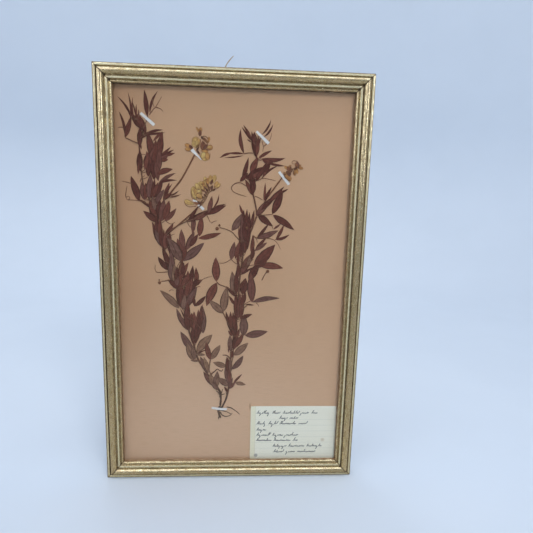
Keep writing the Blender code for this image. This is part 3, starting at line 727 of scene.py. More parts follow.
# Each row of strokes: left end, right end and height on the card.
STROKE_ROWS = [
    (27.5, 95, 71.2), (52.5, 73.5, 65), (27.5, 83.5, 58.4), (27.5, 42.5, 51), (27.5, 77.5, 44.6),
    (27.5, 74, 38.3), (46, 101.5, 31.2), (47, 95.5, 24.2),
]
pen = random.Random(11)
points, faces = [], []
for left, right, base in STROKE_ROWS:
    x = left
    while x < right - 4.0:
        width = min(pen.uniform(8.0, 22.0), right - x)
        # A scrawl of slanting humps, with a tall or a deep one here and there.
        humps = [pen.uniform(3.0, 3.8)] if x == left or pen.random() < 0.4 else []
        while len(humps) < round(width / 1.35):
            kind = pen.random()
            if kind < 0.13:
                humps.append(pen.uniform(2.9, 4.0))
            elif kind < 0.2:
                humps.append(pen.uniform(-3.2, -2.2))
            else:
                humps.append(pen.uniform(1.0, 1.7))
        stroke = []
        for count, tall in enumerate(humps):
            for k in range(9):
                share = k / 9
                rise = tall * math.sin(math.pi * share) ** 1.3
                along = width * (count + share) / len(humps)
                loop = 0.5 * math.sin(math.tau * share) * min(1.0, abs(tall) / 3.0)
                stroke.append((x + along + loop + 0.62 * rise, base + rise + 0.2 * math.sin(along)))
        first = len(points)
        steps = len(stroke) - 1
        for k, (px, pz) in enumerate(stroke):
            ahead, behind = stroke[min(k + 1, steps)], stroke[max(k - 1, 0)]
            way = Vector((ahead[0] - behind[0], ahead[1] - behind[1])).normalized()
            half = PEN_HALF + (0.13 if way.y < 0 else 0.02)
            lift = 0.03 * noise.noise(Vector((px / 38.0, pz / 52.0, 7.0)))
            for dx, dy in ((half, 0.01), (half, -0.03), (-half, -0.03), (-half, 0.01)):
                points.append((px - way.y * dx, LABEL_FRONT + dy + lift, pz + way.x * dx))
        faces += rings_joined(steps + 1, 4, first=first)
        x += width + pen.uniform(2.0, 3.2)
piece("label_strokes", points, faces, INK, sharp=30.0)

# ---------------------------------------------------------------------------------------------
# The stems and the root
# Dried stems of a climbing vetchling, pressed flat and ridged along their length, with a
# swelling at each joint. Both grow from one root, whose fine rootlets lie round the last tape.

STEM_THICK = 0.6
JOINT_SWELL = 0.7
JOINT_REACH = 1.6
CELL = 0.5  # grid on which the height of what already lies on the sheet is kept
GRID_LEFT = -121.0
GRID_LOW = 13.0
ROOM = 1.58  # nothing on the sheet stands higher than this under the glass
GRID_ROWS = 806
GRID_COLUMNS = 484
CARD_TOP = 0.6  # how high the label card stands over the sheet
pile = np.zeros((GRID_ROWS, GRID_COLUMNS))
card_rows = slice(round((LABEL_LOW - GRID_LOW) / CELL), round((LABEL_HIGH - GRID_LOW) / CELL))
card_columns = slice(round((LABEL_LEFT - GRID_LEFT) / CELL), round((LABEL_RIGHT - GRID_LEFT) / CELL) + 1)
pile[card_rows, card_columns] = CARD_TOP


def cells(x, z):
    """The rows and columns of the grid in which some places lie."""
    column = np.clip(np.round((x - GRID_LEFT) / CELL).astype(int), 2, GRID_COLUMNS - 3)
    row = np.clip(np.round((z - GRID_LOW) / CELL).astype(int), 2, GRID_ROWS - 3)
    return row, column


def under(x, z):
    """The greatest height of what lies under each point or close beside it."""
    row, column = cells(x, z)
    return np.max([pile[row + i, column + j] for i in (-1, 0, 1) for j in (-1, 0, 1)], axis=0)


def settle(x, z, gap=0.03, sag=0.03, rounds=14):
    """How high a stiff thing lies whose points are a grid: it bridges what is under it."""
    low = under(x, z) + gap
    high = low.copy()
    for _ in range(rounds):
        along = high.copy()
        along[1:-1] = (high[:-2] + high[2:]) / 2
        across = along.copy()
        if high.ndim > 1 and high.shape[1] > 2:
            across[:, 1:-1] = (along[:, :-2] + along[:, 2:]) / 2
        high = np.maximum(low, 0.5 * (along + across) - sag * 0.1)
    return high


def record_top(x, z, top):
    """Notes the height of a piece that now lies on the sheet."""
    np.maximum.at(pile, cells(x.ravel(), z.ravel()), top.ravel())


# The lengthwise veins and the wrinkles of dried leaves, stems and petals.
TISSUE_GIVES = ["Vein", "Midrib", "Patch", "Height", "Tone", "Along", "Edge"]
DRIED_TISSUE, takes, gives = group("dried_tissue", {"Veins": 8.0, "Wrinkle": 1200.0}, TISSUE_GIVES)
tree = DRIED_TISSUE
along, across, tone = grain_in(tree)
from_middle = number(tree, "ABSOLUTE", across)
wrinkle = clouds(tree, position(tree), takes["Wrinkle"], 4.0, 0.6)
wave = number(tree, "SINE", times(tree, plus(tree, across, times(tree, wrinkle, 0.12)), takes["Veins"]))
vein = ranged(tree, wave, 0.55, 1.0)
midrib = ranged(tree, from_middle, 0.03, 0.14, 1.0, 0.0)
height = plus(tree, plus(tree, wrinkle, times(tree, vein, 0.35)), times(tree, midrib, 0.8))
patch = ranged(tree, clouds(tree, position(tree), 260.0, 3.0), 0.35, 0.65)
edge = ranged(tree, from_middle, 0.62, 0.95)
for name, source in zip(TISSUE_GIVES, (vein, midrib, patch, height, tone, along, edge)):
    plug(tree, gives[name], source)

DRY_STEM, tree, shader = new_material("dry_stem", 0.62)
dried = use(tree, DRIED_TISSUE, Veins=14.0, Wrinkle=900.0)
colour = blended(tree, dried["Patch"], (0.078, 0.022, 0.011), (0.140, 0.046, 0.021))
colour = stained(tree, colour, dried["Vein"], 0.5, (0.18, 0.085, 0.044))
colour = stained(tree, colour, dried["Tone"], 0.7, (0.19, 0.060, 0.021))
foot = ranged(tree, split(tree, position(tree))[2], 0.082, 0.112, 0.75, 0.0)
colour = blended(tree, foot, colour, (0.052, 0.023, 0.019))
dress(tree, shader, colour, dried["Height"], 0.00008)

DRY_ROOT, tree, shader = new_material("dry_root", 0.85)
dried = use(tree, DRIED_TISSUE, Veins=9.0, Wrinkle=1400.0)
colour = blended(tree, dried["Patch"], (0.050, 0.024, 0.019), (0.150, 0.076, 0.050))
dress(tree, shader, colour, dried["Height"], 0.00025)


class Heap:
    """Points, faces and grain gathered for one piece of many small parts."""

    def __init__(self):
        self.points, self.faces, self.grain = [], [], []

    def add(self, points, faces, grain):
        first = len(self.points)
        self.points += points
        self.faces += [tuple(v + first for v in face) for face in faces]
        self.grain += grain

    def made(self, name, look, slot, stands_for=()):
        piece(name, self.points, self.faces, look, stands_for, 60.0, self.grain)


def stalk(heap, route, widths, thick=0.4, lift=None, tone=0.0, sides=8, spacing=1.4, knobs=(), seed=0.0):
    """A flattened round stalk along (x, z) places. Without a lift it lies on what is there."""
    run = smooth_route([(x, 0.0, z) for x, z in route], spacing)
    last = len(run) - 1
    x = np.array([p.x for p in run])
    z = np.array([p.z for p in run])
    base = settle(x, z, 0.03, 0.1, 24) if lift is None else np.full(len(run), lift)
    base = np.minimum(base, ROOM - thick)
    points, grain = [], []
    far = 0.0
    for k, place in enumerate(run):
        way = (run[min(k + 1, last)] - run[max(k - 1, 0)]).normalized()
        width = widths[0] + (widths[1] - widths[0]) * k / last
        width *= 1 + 0.16 * noise.noise(Vector((place.x / 3.0, place.z / 3.0, seed)))
        for knob_x, knob_z in knobs:
            away = math.hypot(place.x - knob_x, place.z - knob_z)
            width += JOINT_SWELL * math.exp(-((away / JOINT_REACH) ** 2))
        plump = 0.75 if k in (0, last) else 1.0
        for i in range(sides):
            a = math.tau * (i + 0.5) / sides
            rim = 0.5 * width * math.cos(a) * plump
            ridge = 1.0 + 0.12 * math.cos(4 * a + seed)
            high = base[k] + thick / 2 + thick / 2 * math.sin(a) * ridge * plump
            points.append((place.x + way.z * rim, SHEET_FRONT - high, place.z - way.x * rim))
            grain.append((far, math.cos(a), tone))
        if k:
            far += (place - run[k - 1]).length
    heap.add(points, rings_joined(len(run), sides), grain)
    for offset in np.linspace(-0.5, 0.5, 5):
        record_top(x + offset * 0.8 * min(widths), z, base + thick)
    return run


# Each stem: its widths at the foot and at the tip, and the places it goes through
STEMS = [
    ("left_stem_lower", (2.2, 1.8), "-12.6 80.6  -12 90  -13.4 98  -18.8 105.6  -23.8 112.4  "
     "-29.4 122.4  -34.8 131  -39 140.5  -41.8 153  -45 161  -46.8 169  -48.8 180  -51 194  -55.5 208  "
     "-60.5 222  -65.5 237  -70.5 251  -74 263"),
    ("left_stem_upper", (1.7, 1.2), "-74.2 263.6  -76 275  -78.5 290  -84.5 302  -90 314  -92.2 328  "
     "-93.6 345  -93.4 358  -90 369  -94 378"),
    ("right_stem_lower", (2, 1.5), "-9.8 80.6  -6.6 88  -4.6 96  -3 108  -2.2 124  -1.6 141  0.6 158  "
     "3 175  5 192  5.6 210  6.8 227  8.6 243  11.4 258  16 270  19.4 279  22.4 288"),
    ("right_stem_upper", (1.7, 1.3), "22.5 288.7  22 294  20.2 303  17.8 314  17.4 332  21 347  "
     "19.6 361  18.6 366"),
    ("right_side_shoot", (1.4, 1), "24 291.4  30 299.4  37 307  43.6 312.4"),
    ("upper_flower_stalk", (1.7, 1.5), "-67.6 303.4  -64.2 308.9  -54 321.8  -49.6 329.2  -44.7 338.2  "
     "-40 347.2"),
    ("lower_flower_stalk", (1.6, 1.4), "-72.2 264.2  -64 271  -52 281.4  -43 289.4  -35.4 297.4  "
     "-31.6 301.4"),
    ("right_flower_stalk", (1.5, 1.3), "33.6 308.2  38.6 315.2  43 321.4  48.6 329.4"),
]
JOINTS = places(
    "-18.8 105.6  -39 140.5  -46.8 169  -51 194  -58.5 216.5  -66.5 240  -74.2 263.6  -79 292  -90 314  "
    "-93 338  -3 108  -1.6 141  3.5 178  5.6 210  8.6 243  13.6 264.5  22.4 288  17.5 318"
)
stem_lines = []
for count, (name, widths, route) in enumerate(STEMS):
    heap = Heap()
    tone = 0.9 if name.endswith("stalk") else 0.2
    run = stalk(heap, places(route), widths, STEM_THICK - 0.06, 0.2, tone, 12, 1.2, JOINTS, count * 3.7)
    stem_lines += [(p.x, p.z) for p in run]
    heap.made(name, DRY_STEM, "stem", (name,))
stem_lines = np.array(stem_lines)

# The root goes on from the left stem, and the right stem's foot joins it.
heap = Heap()
tap_root = places("-12.6 79.8  -14.4 74.5  -13.4 70  -13 66.6")
joined_foot = places("-9.4 81.6  -10.3 79.4  -11.4 77.4  -12.6 75")
stalk(heap, tap_root, (3.6, 1.6), 0.6, 0.2, 0.0, 12, 0.6, seed=2.0)
stalk(heap, joined_foot, (1.9, 2.0), 0.5, 0.2, 0.0, 12, 0.6, seed=4.0)
heap.made("root", DRY_ROOT, "root", ("root",))
ROOTLETS = [
    "-12.6 73.4  -10.4 69.6  -6.2 67.8  -1.2 69.5  0.6 71.8", "-11.6 75.6  -8.6 74.3  -4.4 72.9  -0.8 70.8",
    "-5.6 79  -1 78  2.4 75.9  6 73  8.8 70.2", "-14 71.4  -12 68.4  -11.8 65.6",
    "-13.4 68.8  -14.4 66.4  -13.8 64.2",
]
# Dry scales round the foot: base, tip and width
SCALES = [
    (-12.6, 94, -17.2, 98, 2.4), (-12.2, 93.4, -7.4, 94.4, 1.5), (-12.5, 94.6, -9.8, 100.4, 1.9),
    (-12.4, 90.6, -13.6, 99.6, 2.6), (-5.6, 92.6, -6.6, 97, 1.6),
]
heap = Heap()
for count, route in enumerate(ROOTLETS):
    stalk(heap, places(route), (1.4, 0.6), 0.3, None, 0.2, 6, 0.7, seed=count)
for x, z, tip_x, tip_z, width in SCALES:
    half_way = ((x + tip_x) / 2 + 0.3, (z + tip_z) / 2 + 0.2)
    stalk(heap, [(x, z), half_way, (tip_x, tip_z)], (width, 0.5), 0.4, None, 0.1, 8, 0.6, seed=x)
heap.made("rootlets", DRY_ROOT, "root")

# ---------------------------------------------------------------------------------------------
# The leaves
# Lance-shaped leaflets with lengthwise veins, dried red-brown to grey, and pressed over and
# under each other. Those of a pair spring from one thin stalk, with small stipules at a joint.


def ramped(tree, share, stops):
    """A colour read off a scale of stops, each a place and a colour."""
    made = put(tree, "ShaderNodeValToRGB", Fac=share)
    for count, (place, shade) in enumerate(stops):
        stop = made.color_ramp.elements[count] if count < 2 else made.color_ramp.elements.new(place)
        stop.position = place
        stop.color = (*shade, 1.0)
    return made.outputs[0]


LEAF_TONES = [
    (0.0, (0.105, 0.024, 0.018)),
    (0.3, (0.190, 0.050, 0.034)),
    (0.6, (0.170, 0.074, 0.060)),
    (1.0, (0.290, 0.150, 0.090)),
]
DRY_LEAF, tree, shader = new_material("dry_leaf", 0.72)
dried = use(tree, DRIED_TISSUE, Veins=26.0, Wrinkle=1500.0)
leaf_tone = ramped(tree, dried["Tone"], LEAF_TONES)
deep = blended(tree, 1.0, leaf_tone, (0.72, 0.66, 0.66), "MULTIPLY")
colour = blended(tree, dried["Patch"], deep, leaf_tone)
colour = stained(tree, colour, dried["Vein"], 0.16, (0.22, 0.11, 0.08))
colour = stained(tree, colour, dried["Midrib"], 0.45, (0.050, 0.016, 0.012))
# The dark rims are partly the leaflets' own dark edges and partly painted shade where leaflets overlap.
colour = stained(tree, colour, dried["Edge"], 0.85, (0.040, 0.012, 0.009))
shader.inputs["Specular IOR Level"].default_value = 0.2
dress(tree, shader, colour, dried["Height"], 0.00009)

ACROSS = (-1.0, -0.66, -0.3, 0.0, 0.3, 0.66, 1.0)
TONES = {"m": 0.05, "r": 0.3, "g": 0.6, "o": 0.9}  # maroon, red, grey and olive brown
chance = random.Random(5)


def lance(t):
    """Half width of a leaflet along its length, as a share of the greatest."""
    return math.sin(math.pi * t**0.88) ** 0.82 * (1.0 - 0.12 * t)


def lying(x, z, levels):
    """The points of a thin thing on the sheet, at the heights of its front and its back."""
    return [p for level in levels for p in zip(x.ravel(), SHEET_FRONT - level.ravel(), z.ravel())]


def blade(heap, base, tip, width, bow, tone, outline=lance, thick=0.08, curl=0.1, lift=None, seed=0.0):
    """A thin closed blade from base to tip that lies over what is already there."""
    start, end = Vector(base), Vector(tip)
    length = (end - start).length
    way = (end - start) / length
    side = Vector((way.y, -way.x))
    stations = max(8, min(20, round(length / 1.3)))
    x = np.zeros((stations + 1, len(ACROSS)))
    z = np.zeros_like(x)
    for k in range(stations + 1):
        t = k / stations
        half = max(width / 2 * outline(t), 0.09)
        half *= 1 + 0.07 * noise.noise(Vector((t * 6.0, seed, 1.0)))
        sway = bow * 4 * t * (1 - t) + 0.012 * length * noise.noise(Vector((t * 3.0, seed, 2.0)))
        middle = start.lerp(end, t) + side * sway
        for i, s in enumerate(ACROSS):
            x[k, i] = middle.x + side.x * half * s
            z[k, i] = middle.y + side.y * half * s
    rest = settle(x, z, 0.02) if lift is None else np.full(x.shape, lift)
    s = np.array(ACROSS)[None, :]
    t = np.linspace(0, 1, stations + 1)[:, None]
    roll = curl * (0.5 + 0.5 * math.sin(seed * 1.7)) * np.abs(s) ** 2
    ripple = 0.05 * np.sin(t * 17.0 + seed) * s + 0.04 * np.sin(t * 9.0 + seed * 2)
    low = np.minimum(rest + np.maximum(roll + ripple, 0.0), ROOM - thick)
    body = thick * (1 - 0.55 * s**2) + 0.05 * np.exp(-((s / 0.16) ** 2)) * (1 - t)
    high = low + body
    grain = [(k / stations, a, tone) for k in range(stations + 1) for a in ACROSS]
    heap.add(lying(x, z, (high, low)), sheet_faces(len(ACROSS), stations + 1), grain * 2)
    later = np.minimum(np.arange(stations + 1) + 1, stations)
    for share in (0.0, 0.25, 0.5, 0.75):
        px, pz, top = (grid * (1 - share) + grid[later] * share for grid in (x, z, high))
        record_top(px, pz, top)
        record_top(*((grid[:, 1:] + grid[:, :-1]) / 2 for grid in (px, pz, top)))


def leaflets(heap, stalks, rows):
    """Lays the leaflets of a table. Each one's stalk runs to the nearest stem."""
    for bx, bz, tx, tz, width, tone, *bow in rows:
        seed = chance.uniform(0, 50)
        shade = min(1.0, max(0.0, TONES[tone] + chance.uniform(-0.2, 0.2)))
        away = np.hypot(stem_lines[:, 0] - bx, stem_lines[:, 1] - bz + 2.0)
        near = int(np.argmin(away))
        if 1.4 < away[near] < 9.0:
            sx, sz = stem_lines[near]
            route = [(sx, sz), ((sx + bx) / 2, (sz + bz) / 2 - 0.4), (bx, bz)]
            stalk(stalks, route, (0.8, 0.6), 0.22, seed=seed)
        blade(heap, (bx, bz), (tx, tz), width, sum(bow), shade, seed=seed)


# In all the tables a leaflet is its base x and z, tip x and z, width and tone, and then its bow
# if it has one. First the leaflets that lie clear of the rest, one piece each.
CLEAR_LEAFLETS = {
    "leaf_top_left_a": (-85.4, 381.8, -87.9, 405.9, 4.9, "m", 0.2),
    "leaf_top_left_b": (-83, 385, -75.3, 405.2, 2.6, "m", -1.7),
    "leaf_left_edge": (-95, 300.6, -102.3, 324.6, 7.8, "m"),
    "leaf_left_outer": (-106.9, 361.4, -112.1, 385, 2.9, "m", 1.5),
    "leaf_left_low": (-56, 190.2, -76, 209.3, 7.4, "o", 0.6),
    "leaf_middle_a": (-17.9, 219.6, -18.6, 244.9, 9.1, "r"),
    "leaf_middle_b": (-17.4, 218, -28, 193, 9.6, "r", 0.9),
    "leaf_middle_c": (-10.8, 186.4, -6.8, 213.9, 9.2, "o", -0.3),
    "leaf_fork_a": (-35.5, 266.4, -33, 286.6, 7, "r"),
    "leaf_fork_b": (-36.4, 264.2, -13.2, 270.2, 5.6, "r", 0.6),
    "leaf_fork_c": (-53.4, 240.6, -30.5, 259.8, 9.4, "g", 0.7),
    "leaf_low_a": (-23.2, 133.8, -13.3, 150.5, 7.2, "o", 0.1),
    "leaf_low_b": (1.6, 138.6, 16.7, 152.9, 8.1, "o", 0.1),
    "leaf_low_c": (0, 122.8, 11.6, 138.5, 6.6, "g", 0.8),
    "leaf_right_a": (38.5, 290.8, 48.3, 313.8, 8.1, "m", 0.1),
    "leaf_right_b": (39.2, 289.6, 61.4, 275, 7.4, "m", -0.2),
    "leaf_right_c": (26.8, 236.8, 51.4, 234.7, 7.8, "r", -1.4),
    "leaf_right_d": (20, 197.8, 48.8, 202.4, 5.6, "g", -1.6),
}
for name, (bx, bz, tx, tz, width, tone, *bow) in CLEAR_LEAFLETS.items():
    heap = Heap()
    blade(heap, (bx, bz), (tx, tz), width, sum(bow), TONES[tone], lift=0.26, seed=chance.uniform(0, 50))
    heap.made(name, DRY_LEAF, "leaf", (name,))

LEAVES = {
    "leaves_left_crown": [
        (-89.5, 369, -101, 384, 6.2, "m"), (-88.4, 367, -97, 385, 6, "r"), (-92, 370.5, -100, 379, 4, "m"),
        (-87.4, 365.5, -90.6, 380, 4.4, "m"), (-90, 374, -92.8, 382.8, 2.6, "m"),
        (-100.6, 379.5, -113.3, 399, 2.4, "m", 1.7), (-101, 380, -103.2, 402.8, 1.9, "m", 0.9),
        (-98.6, 381, -98.8, 398.8, 1.4, "m", -1), (-96.6, 382, -99.4, 394.6, 1.2, "m", 0.4),
        (-95.4, 380, -95.6, 392.6, 1.6, "m", -0.4), (-94, 379, -93.4, 388, 1.2, "r"),
        (-98.4, 379, -100.6, 388.6, 2, "m"), (-107.2, 361.2, -100.9, 380.8, 5.3, "r", 0.2),
        (-93.4, 353, -91.8, 372.5, 5.6, "m", -0.4), (-93.2, 358, -91.7, 350.5, 1.8, "m"),
        (-91.6, 361, -84, 367.6, 3, "m"), (-86.5, 365.3, -70.8, 369.6, 2.8, "m", -1),
        (-86, 364.4, -68.8, 367, 2.3, "m", -0.2), (-80.2, 358.6, -71, 368, 2.7, "r", -0.3),
        (-79.5, 340, -85.2, 367.4, 8, "r", -0.4), (-77.5, 339, -71.2, 367.8, 7.8, "r", 0.2),
        (-79, 340, -77.8, 360, 6, "m"), (-77.5, 355.8, -72.8, 360.6, 1.3, "m"),
        (-74.5, 343, -63.3, 353.8, 2.9, "m"), (-72.5, 343.5, -60.5, 351.2, 2.6, "m", -0.3),
        (-69.5, 345, -59.3, 348, 3, "m"), (-75, 340.5, -65.6, 346, 5.6, "r"),
        (-73.5, 340.5, -66, 341.6, 4, "m"), (-89.5, 335, -82.5, 350, 6.4, "m"),
        (-86, 330, -80, 352, 7.4, "r"), (-80, 330, -78.4, 352, 7.4, "m"),
        (-75.5, 330, -74.5, 351, 6.6, "r"), (-83, 330, -86.8, 349, 6.4, "m"),
        (-92.6, 330, -93.2, 351, 4.6, "m"),
    ],
    "leaves_left_shoulder": [
        (-90, 301.5, -92.6, 319, 6, "r"), (-88.4, 302, -88.2, 318.6, 5.4, "m"),
        (-85, 303, -83.6, 327, 7.4, "g"), (-82, 303, -79.6, 322.8, 4.4, "m"),
        (-93, 329.4, -94.8, 346.5, 6.2, "m"), (-94.3, 337, -95.5, 326.6, 2.8, "m"),
        (-85.6, 324.6, -84.6, 342, 5.8, "m"), (-89, 331, -85, 346, 4.4, "r"),
        (-80, 321.6, -80.8, 341, 6.2, "m"), (-78.2, 338, -75.8, 320.4, 6, "r"),
        (-77, 327, -61.6, 332.5, 6, "r", -0.9), (-75.4, 318.6, -58.8, 328.7, 3.8, "r", -0.9),
        (-76, 318, -57.5, 321.6, 2.8, "m", -1.4), (-81.2, 303.5, -71.4, 320.6, 6.2, "m"),
        (-82, 304, -76, 319.4, 5, "m"), (-83.4, 303, -80.6, 317, 2.6, "m"),
        (-79, 297.4, -70.3, 312.6, 6, "g", -0.6), (-71.4, 302, -65.2, 319.6, 4.4, "m", 0.4),
        (-70.4, 303.5, -62.2, 318.2, 2.2, "m", -0.8), (-69, 303.4, -62.6, 310, 3.4, "m"),
        (-65.4, 306.4, -55.3, 312, 1.5, "m", 0.8), (-65, 305.2, -53.8, 308.2, 1.5, "m", 0.8),
        (-77.4, 281, -74.5, 302, 7.8, "m"), (-74, 280, -70.4, 303, 8, "g"),
        (-71, 282.4, -65.4, 301.6, 7.4, "m", 0.4), (-78.6, 279, -84.4, 302, 8, "m"),
        (-80.6, 288, -84.6, 301.4, 6.4, "r"), (-84, 294, -95.4, 302.4, 3, "m", 0.4),
        (-79.4, 292, -81.4, 306, 5, "g"), (-70.2, 281, -58.5, 293.9, 5.3, "r", 0.5),
        (-77.6, 280, -91.3, 290.8, 6.6, "m"), (-79.6, 262, -82.9, 280.2, 3.8, "m", 1),
        (-77.4, 259, -78.2, 284, 6.6, "m"), (-74.8, 258, -74.8, 284, 5.6, "r"),
        (-70.4, 266, -61.6, 278.9, 4.8, "m", 0.6), (-71, 266, -71.2, 273, 1.6, "m"),
    ],
    "leaves_left_fork": [
        (-73, 255, -79.8, 272, 6.4, "g"), (-72, 253.6, -74.4, 273, 6.6, "m"),
        (-69.6, 252, -69, 270, 7.4, "r"), (-67.6, 256, -64.6, 269, 5.4, "m"),
        (-52.2, 251, -53.7, 273.2, 6.8, "r"), (-54, 251, -57.9, 263.6, 5.2, "r"),
        (-53, 239, -52, 257, 4.8, "m"), (-51.6, 242, -49, 257, 5, "m"), (-49.6, 251.6, -43, 269, 4.6, "m"),
        (-48, 252.4, -40.4, 270.6, 6.2, "r"), (-45, 255.4, -36.6, 268.6, 5.4, "m"),
        (-41.6, 286.4, -42.4, 268, 5.2, "r", -0.6), (-45.4, 281, -27, 293, 5.2, "m"),
        (-42.4, 282.6, -25, 291.4, 5.8, "r"), (-39.4, 287.6, -48.2, 280.4, 3.8, "m"),
        (-31.4, 288.8, -8.4, 298.1, 6.3, "m", 0.4), (-23.4, 293.6, -8.8, 299.7, 2.6, "m", -0.4),
        (-26.4, 289.6, -22.8, 307.2, 5.2, "r", 0.2), (-22, 295, -16, 309.2, 1.8, "m", 1.6),
        (-46, 281.4, -35.8, 296.8, 3.4, "m", -0.5),
    ],
    "leaves_left_middle": [
        (-54, 240.4, -67.4, 264.4, 11.6, "g", 0.6), (-59, 243, -66.6, 263.6, 5, "g"),
        (-60.4, 236, -68.6, 257, 3.6, "m", 0.8), (-67, 233, -69.4, 250.4, 5.4, "m"),
        (-70.4, 240, -72.4, 256, 2.6, "m"), (-64.6, 231, -65.6, 242, 4.4, "m"),
        (-67.4, 230.6, -77.4, 244.6, 6, "m", -0.4), (-62.2, 229, -64.4, 252, 5.8, "g"),
        (-63.6, 219, -65, 240, 7.4, "g"), (-60.8, 217, -60.6, 237, 6.4, "o"),
        (-58.2, 217, -58.2, 234.8, 6.2, "m"), (-54.8, 220, -46.4, 239.2, 5.6, "r", -0.8),
        (-55.8, 225, -52.6, 242, 5, "m"), (-52.8, 226, -51.2, 239, 3.6, "m"),
        (-49.8, 214, -50.8, 229, 4, "m"), (-45, 214, -42, 236, 5.6, "m"),
        (-47.4, 213, -47.2, 230.6, 5.2, "m"), (-38.6, 215, -38.9, 234, 5.4, "r", 0.4),
        (-44.8, 214, -32.2, 221.2, 6, "m"), (-47, 207, -37.6, 222, 7.4, "m"),
        (-46.6, 205, -43, 222, 6.4, "r"), (-57, 209, -54.6, 226, 8.4, "m"), (-60, 213, -57, 224, 6, "g"),
        (-56.8, 211.6, -67.7, 220.8, 6.6, "m", 0.6), (-53, 214, -49, 224, 5, "r"),
        (-54.4, 191, -58.4, 214, 6.4, "m"), (-53, 192, -54.2, 217, 7.4, "m"),
        (-50.4, 195, -50, 214, 5.4, "m"), (-49, 203, -45.6, 222, 5.4, "r"),
        (-50.6, 190.6, -37.8, 213.8, 8.2, "g", 0.4), (-52.6, 188.6, -50, 205, 6.4, "g"),
        (-48.6, 187, -45.8, 204, 4.6, "g"), (-40.4, 192.8, -41.1, 204, 3.6, "m", -0.2),
        (-40.6, 192.6, -28.8, 204.1, 5, "m", 0.8), (-53, 172, -59.1, 190, 4.8, "g"),
        (-50.2, 178, -55.2, 190.6, 1.5, "m"), (-48.4, 174, -47.4, 197, 7, "m"),
        (-47, 170, -45.4, 186, 5, "r"), (-44, 169, -43.2, 185.4, 6.4, "m"),
        (-40.4, 164, -41, 187.2, 5.6, "r"), (-35.6, 164, -36.6, 189.2, 5.8, "m"),
        (-31.2, 163, -32.4, 194.6, 7.2, "g", 0.3), (-34, 170, -33.6, 193, 5, "r"),
    ],
    "leaves_foot": [
        (-46.6, 166.6, -57.6, 184, 6.4, "g"), (-46, 167, -50.4, 185, 6.4, "m"),
        (-40.6, 151, -39.4, 183, 8.6, "r", 0.3), (-41.6, 151, -42.6, 171, 5.4, "m"),
        (-39, 152, -35, 184, 6.6, "m"), (-36.4, 160, -31, 181, 5, "m"), (-32, 163.4, -29.4, 182, 4.6, "g"),
        (-42.8, 143.6, -55, 165, 8, "g", -0.3), (-41.2, 132.6, -48.6, 153, 8.6, "o", -0.2),
        (-40, 134, -42.6, 150, 6, "o"), (-38, 142.6, -21.8, 161.8, 10.2, "o", -0.6),
        (-38.4, 140.4, -28, 144.8, 1.9, "m"), (-38.6, 140.2, -28.6, 139, 3.2, "o"),
        (-23.7, 133.8, -28.4, 153.4, 6.4, "r", -0.2), (-26, 118.6, -34.2, 137, 6.4, "g"),
        (-25.2, 119, -30.6, 136.8, 5.4, "o"), (-36, 132, -44.8, 132.8, 2.6, "o"),
        (-20, 103.6, -31.1, 120, 6.4, "g"), (-19.4, 103.6, -24.2, 117.4, 7.2, "o"),
        (-17.4, 102.4, -16, 120.6, 7, "g"), (-17.6, 101, -14.2, 117, 4.4, "o"),
        (-15, 99.4, -22, 108.4, 5.6, "g"), (-3.6, 103.8, -15.4, 113, 7.4, "o"),
        (-6.4, 125.8, -20.7, 130.6, 6.6, "o"), (-3.2, 107, -7.6, 125.2, 6.2, "g"),
        (-2.6, 108, -3.6, 125, 5.2, "r"), (-3, 118, -6, 136.8, 6.6, "r"), (-1.6, 120, -2.4, 136, 4.2, "g"),
        (-1, 136, 1, 145, 3.2, "m"), (-2.4, 143.6, -3, 161.6, 5.8, "g"), (-3.6, 150, -4.6, 141.4, 1.8, "m"),
        (1, 145, 5, 166, 6.4, "m"), (2, 147, 11.8, 163.4, 6, "r"), (3.4, 157, 7.2, 169, 3.8, "m"),
        (0.8, 160, 3.4, 172, 5, "m"), (-0.4, 160.6, -5, 166.4, 3.2, "m"),
        (11.4, 160.6, 11.8, 184.6, 9.8, "g"), (1, 162, -6.8, 184, 6.4, "m"), (1.6, 162, -2.6, 184, 7, "r"),
        (3, 162, 1.6, 184, 5.6, "m"), (1.6, 106.6, 10.6, 117.3, 2.8, "r", -0.3),
        (3.4, 107.6, 14.8, 105, 4.8, "o"), (-3.4, 100.6, 3.6, 108.4, 4.4, "g"),
        (-4, 100.6, 0.6, 113.4, 3.6, "g"), (-4.2, 96.6, -8.4, 102.8, 3, "m"),
        (13, 161.2, 37.2, 165.8, 8.8, "g", 0.6),
    ],
    "leaves_right_crown": [
        (8.4, 349.8, 4.9, 373, 4.2, "m", -1.7), (8, 349.5, -8, 349.5, 2.3, "m", 0.3),
        (-4, 349.8, -15.4, 344.8, 2.5, "m", 0.7), (7.6, 347.8, -10.6, 345.3, 1.5, "m", -0.6),
        (15.6, 362.4, 5.8, 375, 2.3, "m"), (15.8, 363.6, 7.4, 376.9, 2.5, "m", 0.3),
        (20.8, 346.4, 18.2, 370.8, 7.2, "m"), (21.2, 347.4, 22.4, 366.4, 4.6, "r"),
        (19.6, 348, 15.6, 371.4, 4.4, "m"), (17.6, 360, 19.4, 369, 3.4, "m"),
        (21, 356.6, 24.9, 365.4, 2.8, "m"), (15.2, 361, 11.2, 363.4, 1.4, "m"),
        (26, 368.6, 34.2, 382.8, 2.1, "m", 1.5), (27.8, 366.2, 36.5, 378.6, 2.2, "m", 1.4),
        (22.8, 345.2, 36.2, 353.4, 3.4, "m", -0.6), (25.6, 345.2, 49.8, 346.5, 4.8, "m", 1.8),
        (27, 344, 38, 340.6, 5.4, "r"), (31, 342, 49.6, 338.9, 2.7, "m", 0.8),
        (26.6, 325.8, 42.4, 338.8, 2.6, "m", -1.6), (28, 327, 33.4, 343.4, 4.4, "r"),
        (29.6, 332, 35, 342, 4.4, "m"), (16, 330, 22.4, 346.4, 7, "r", -0.5),
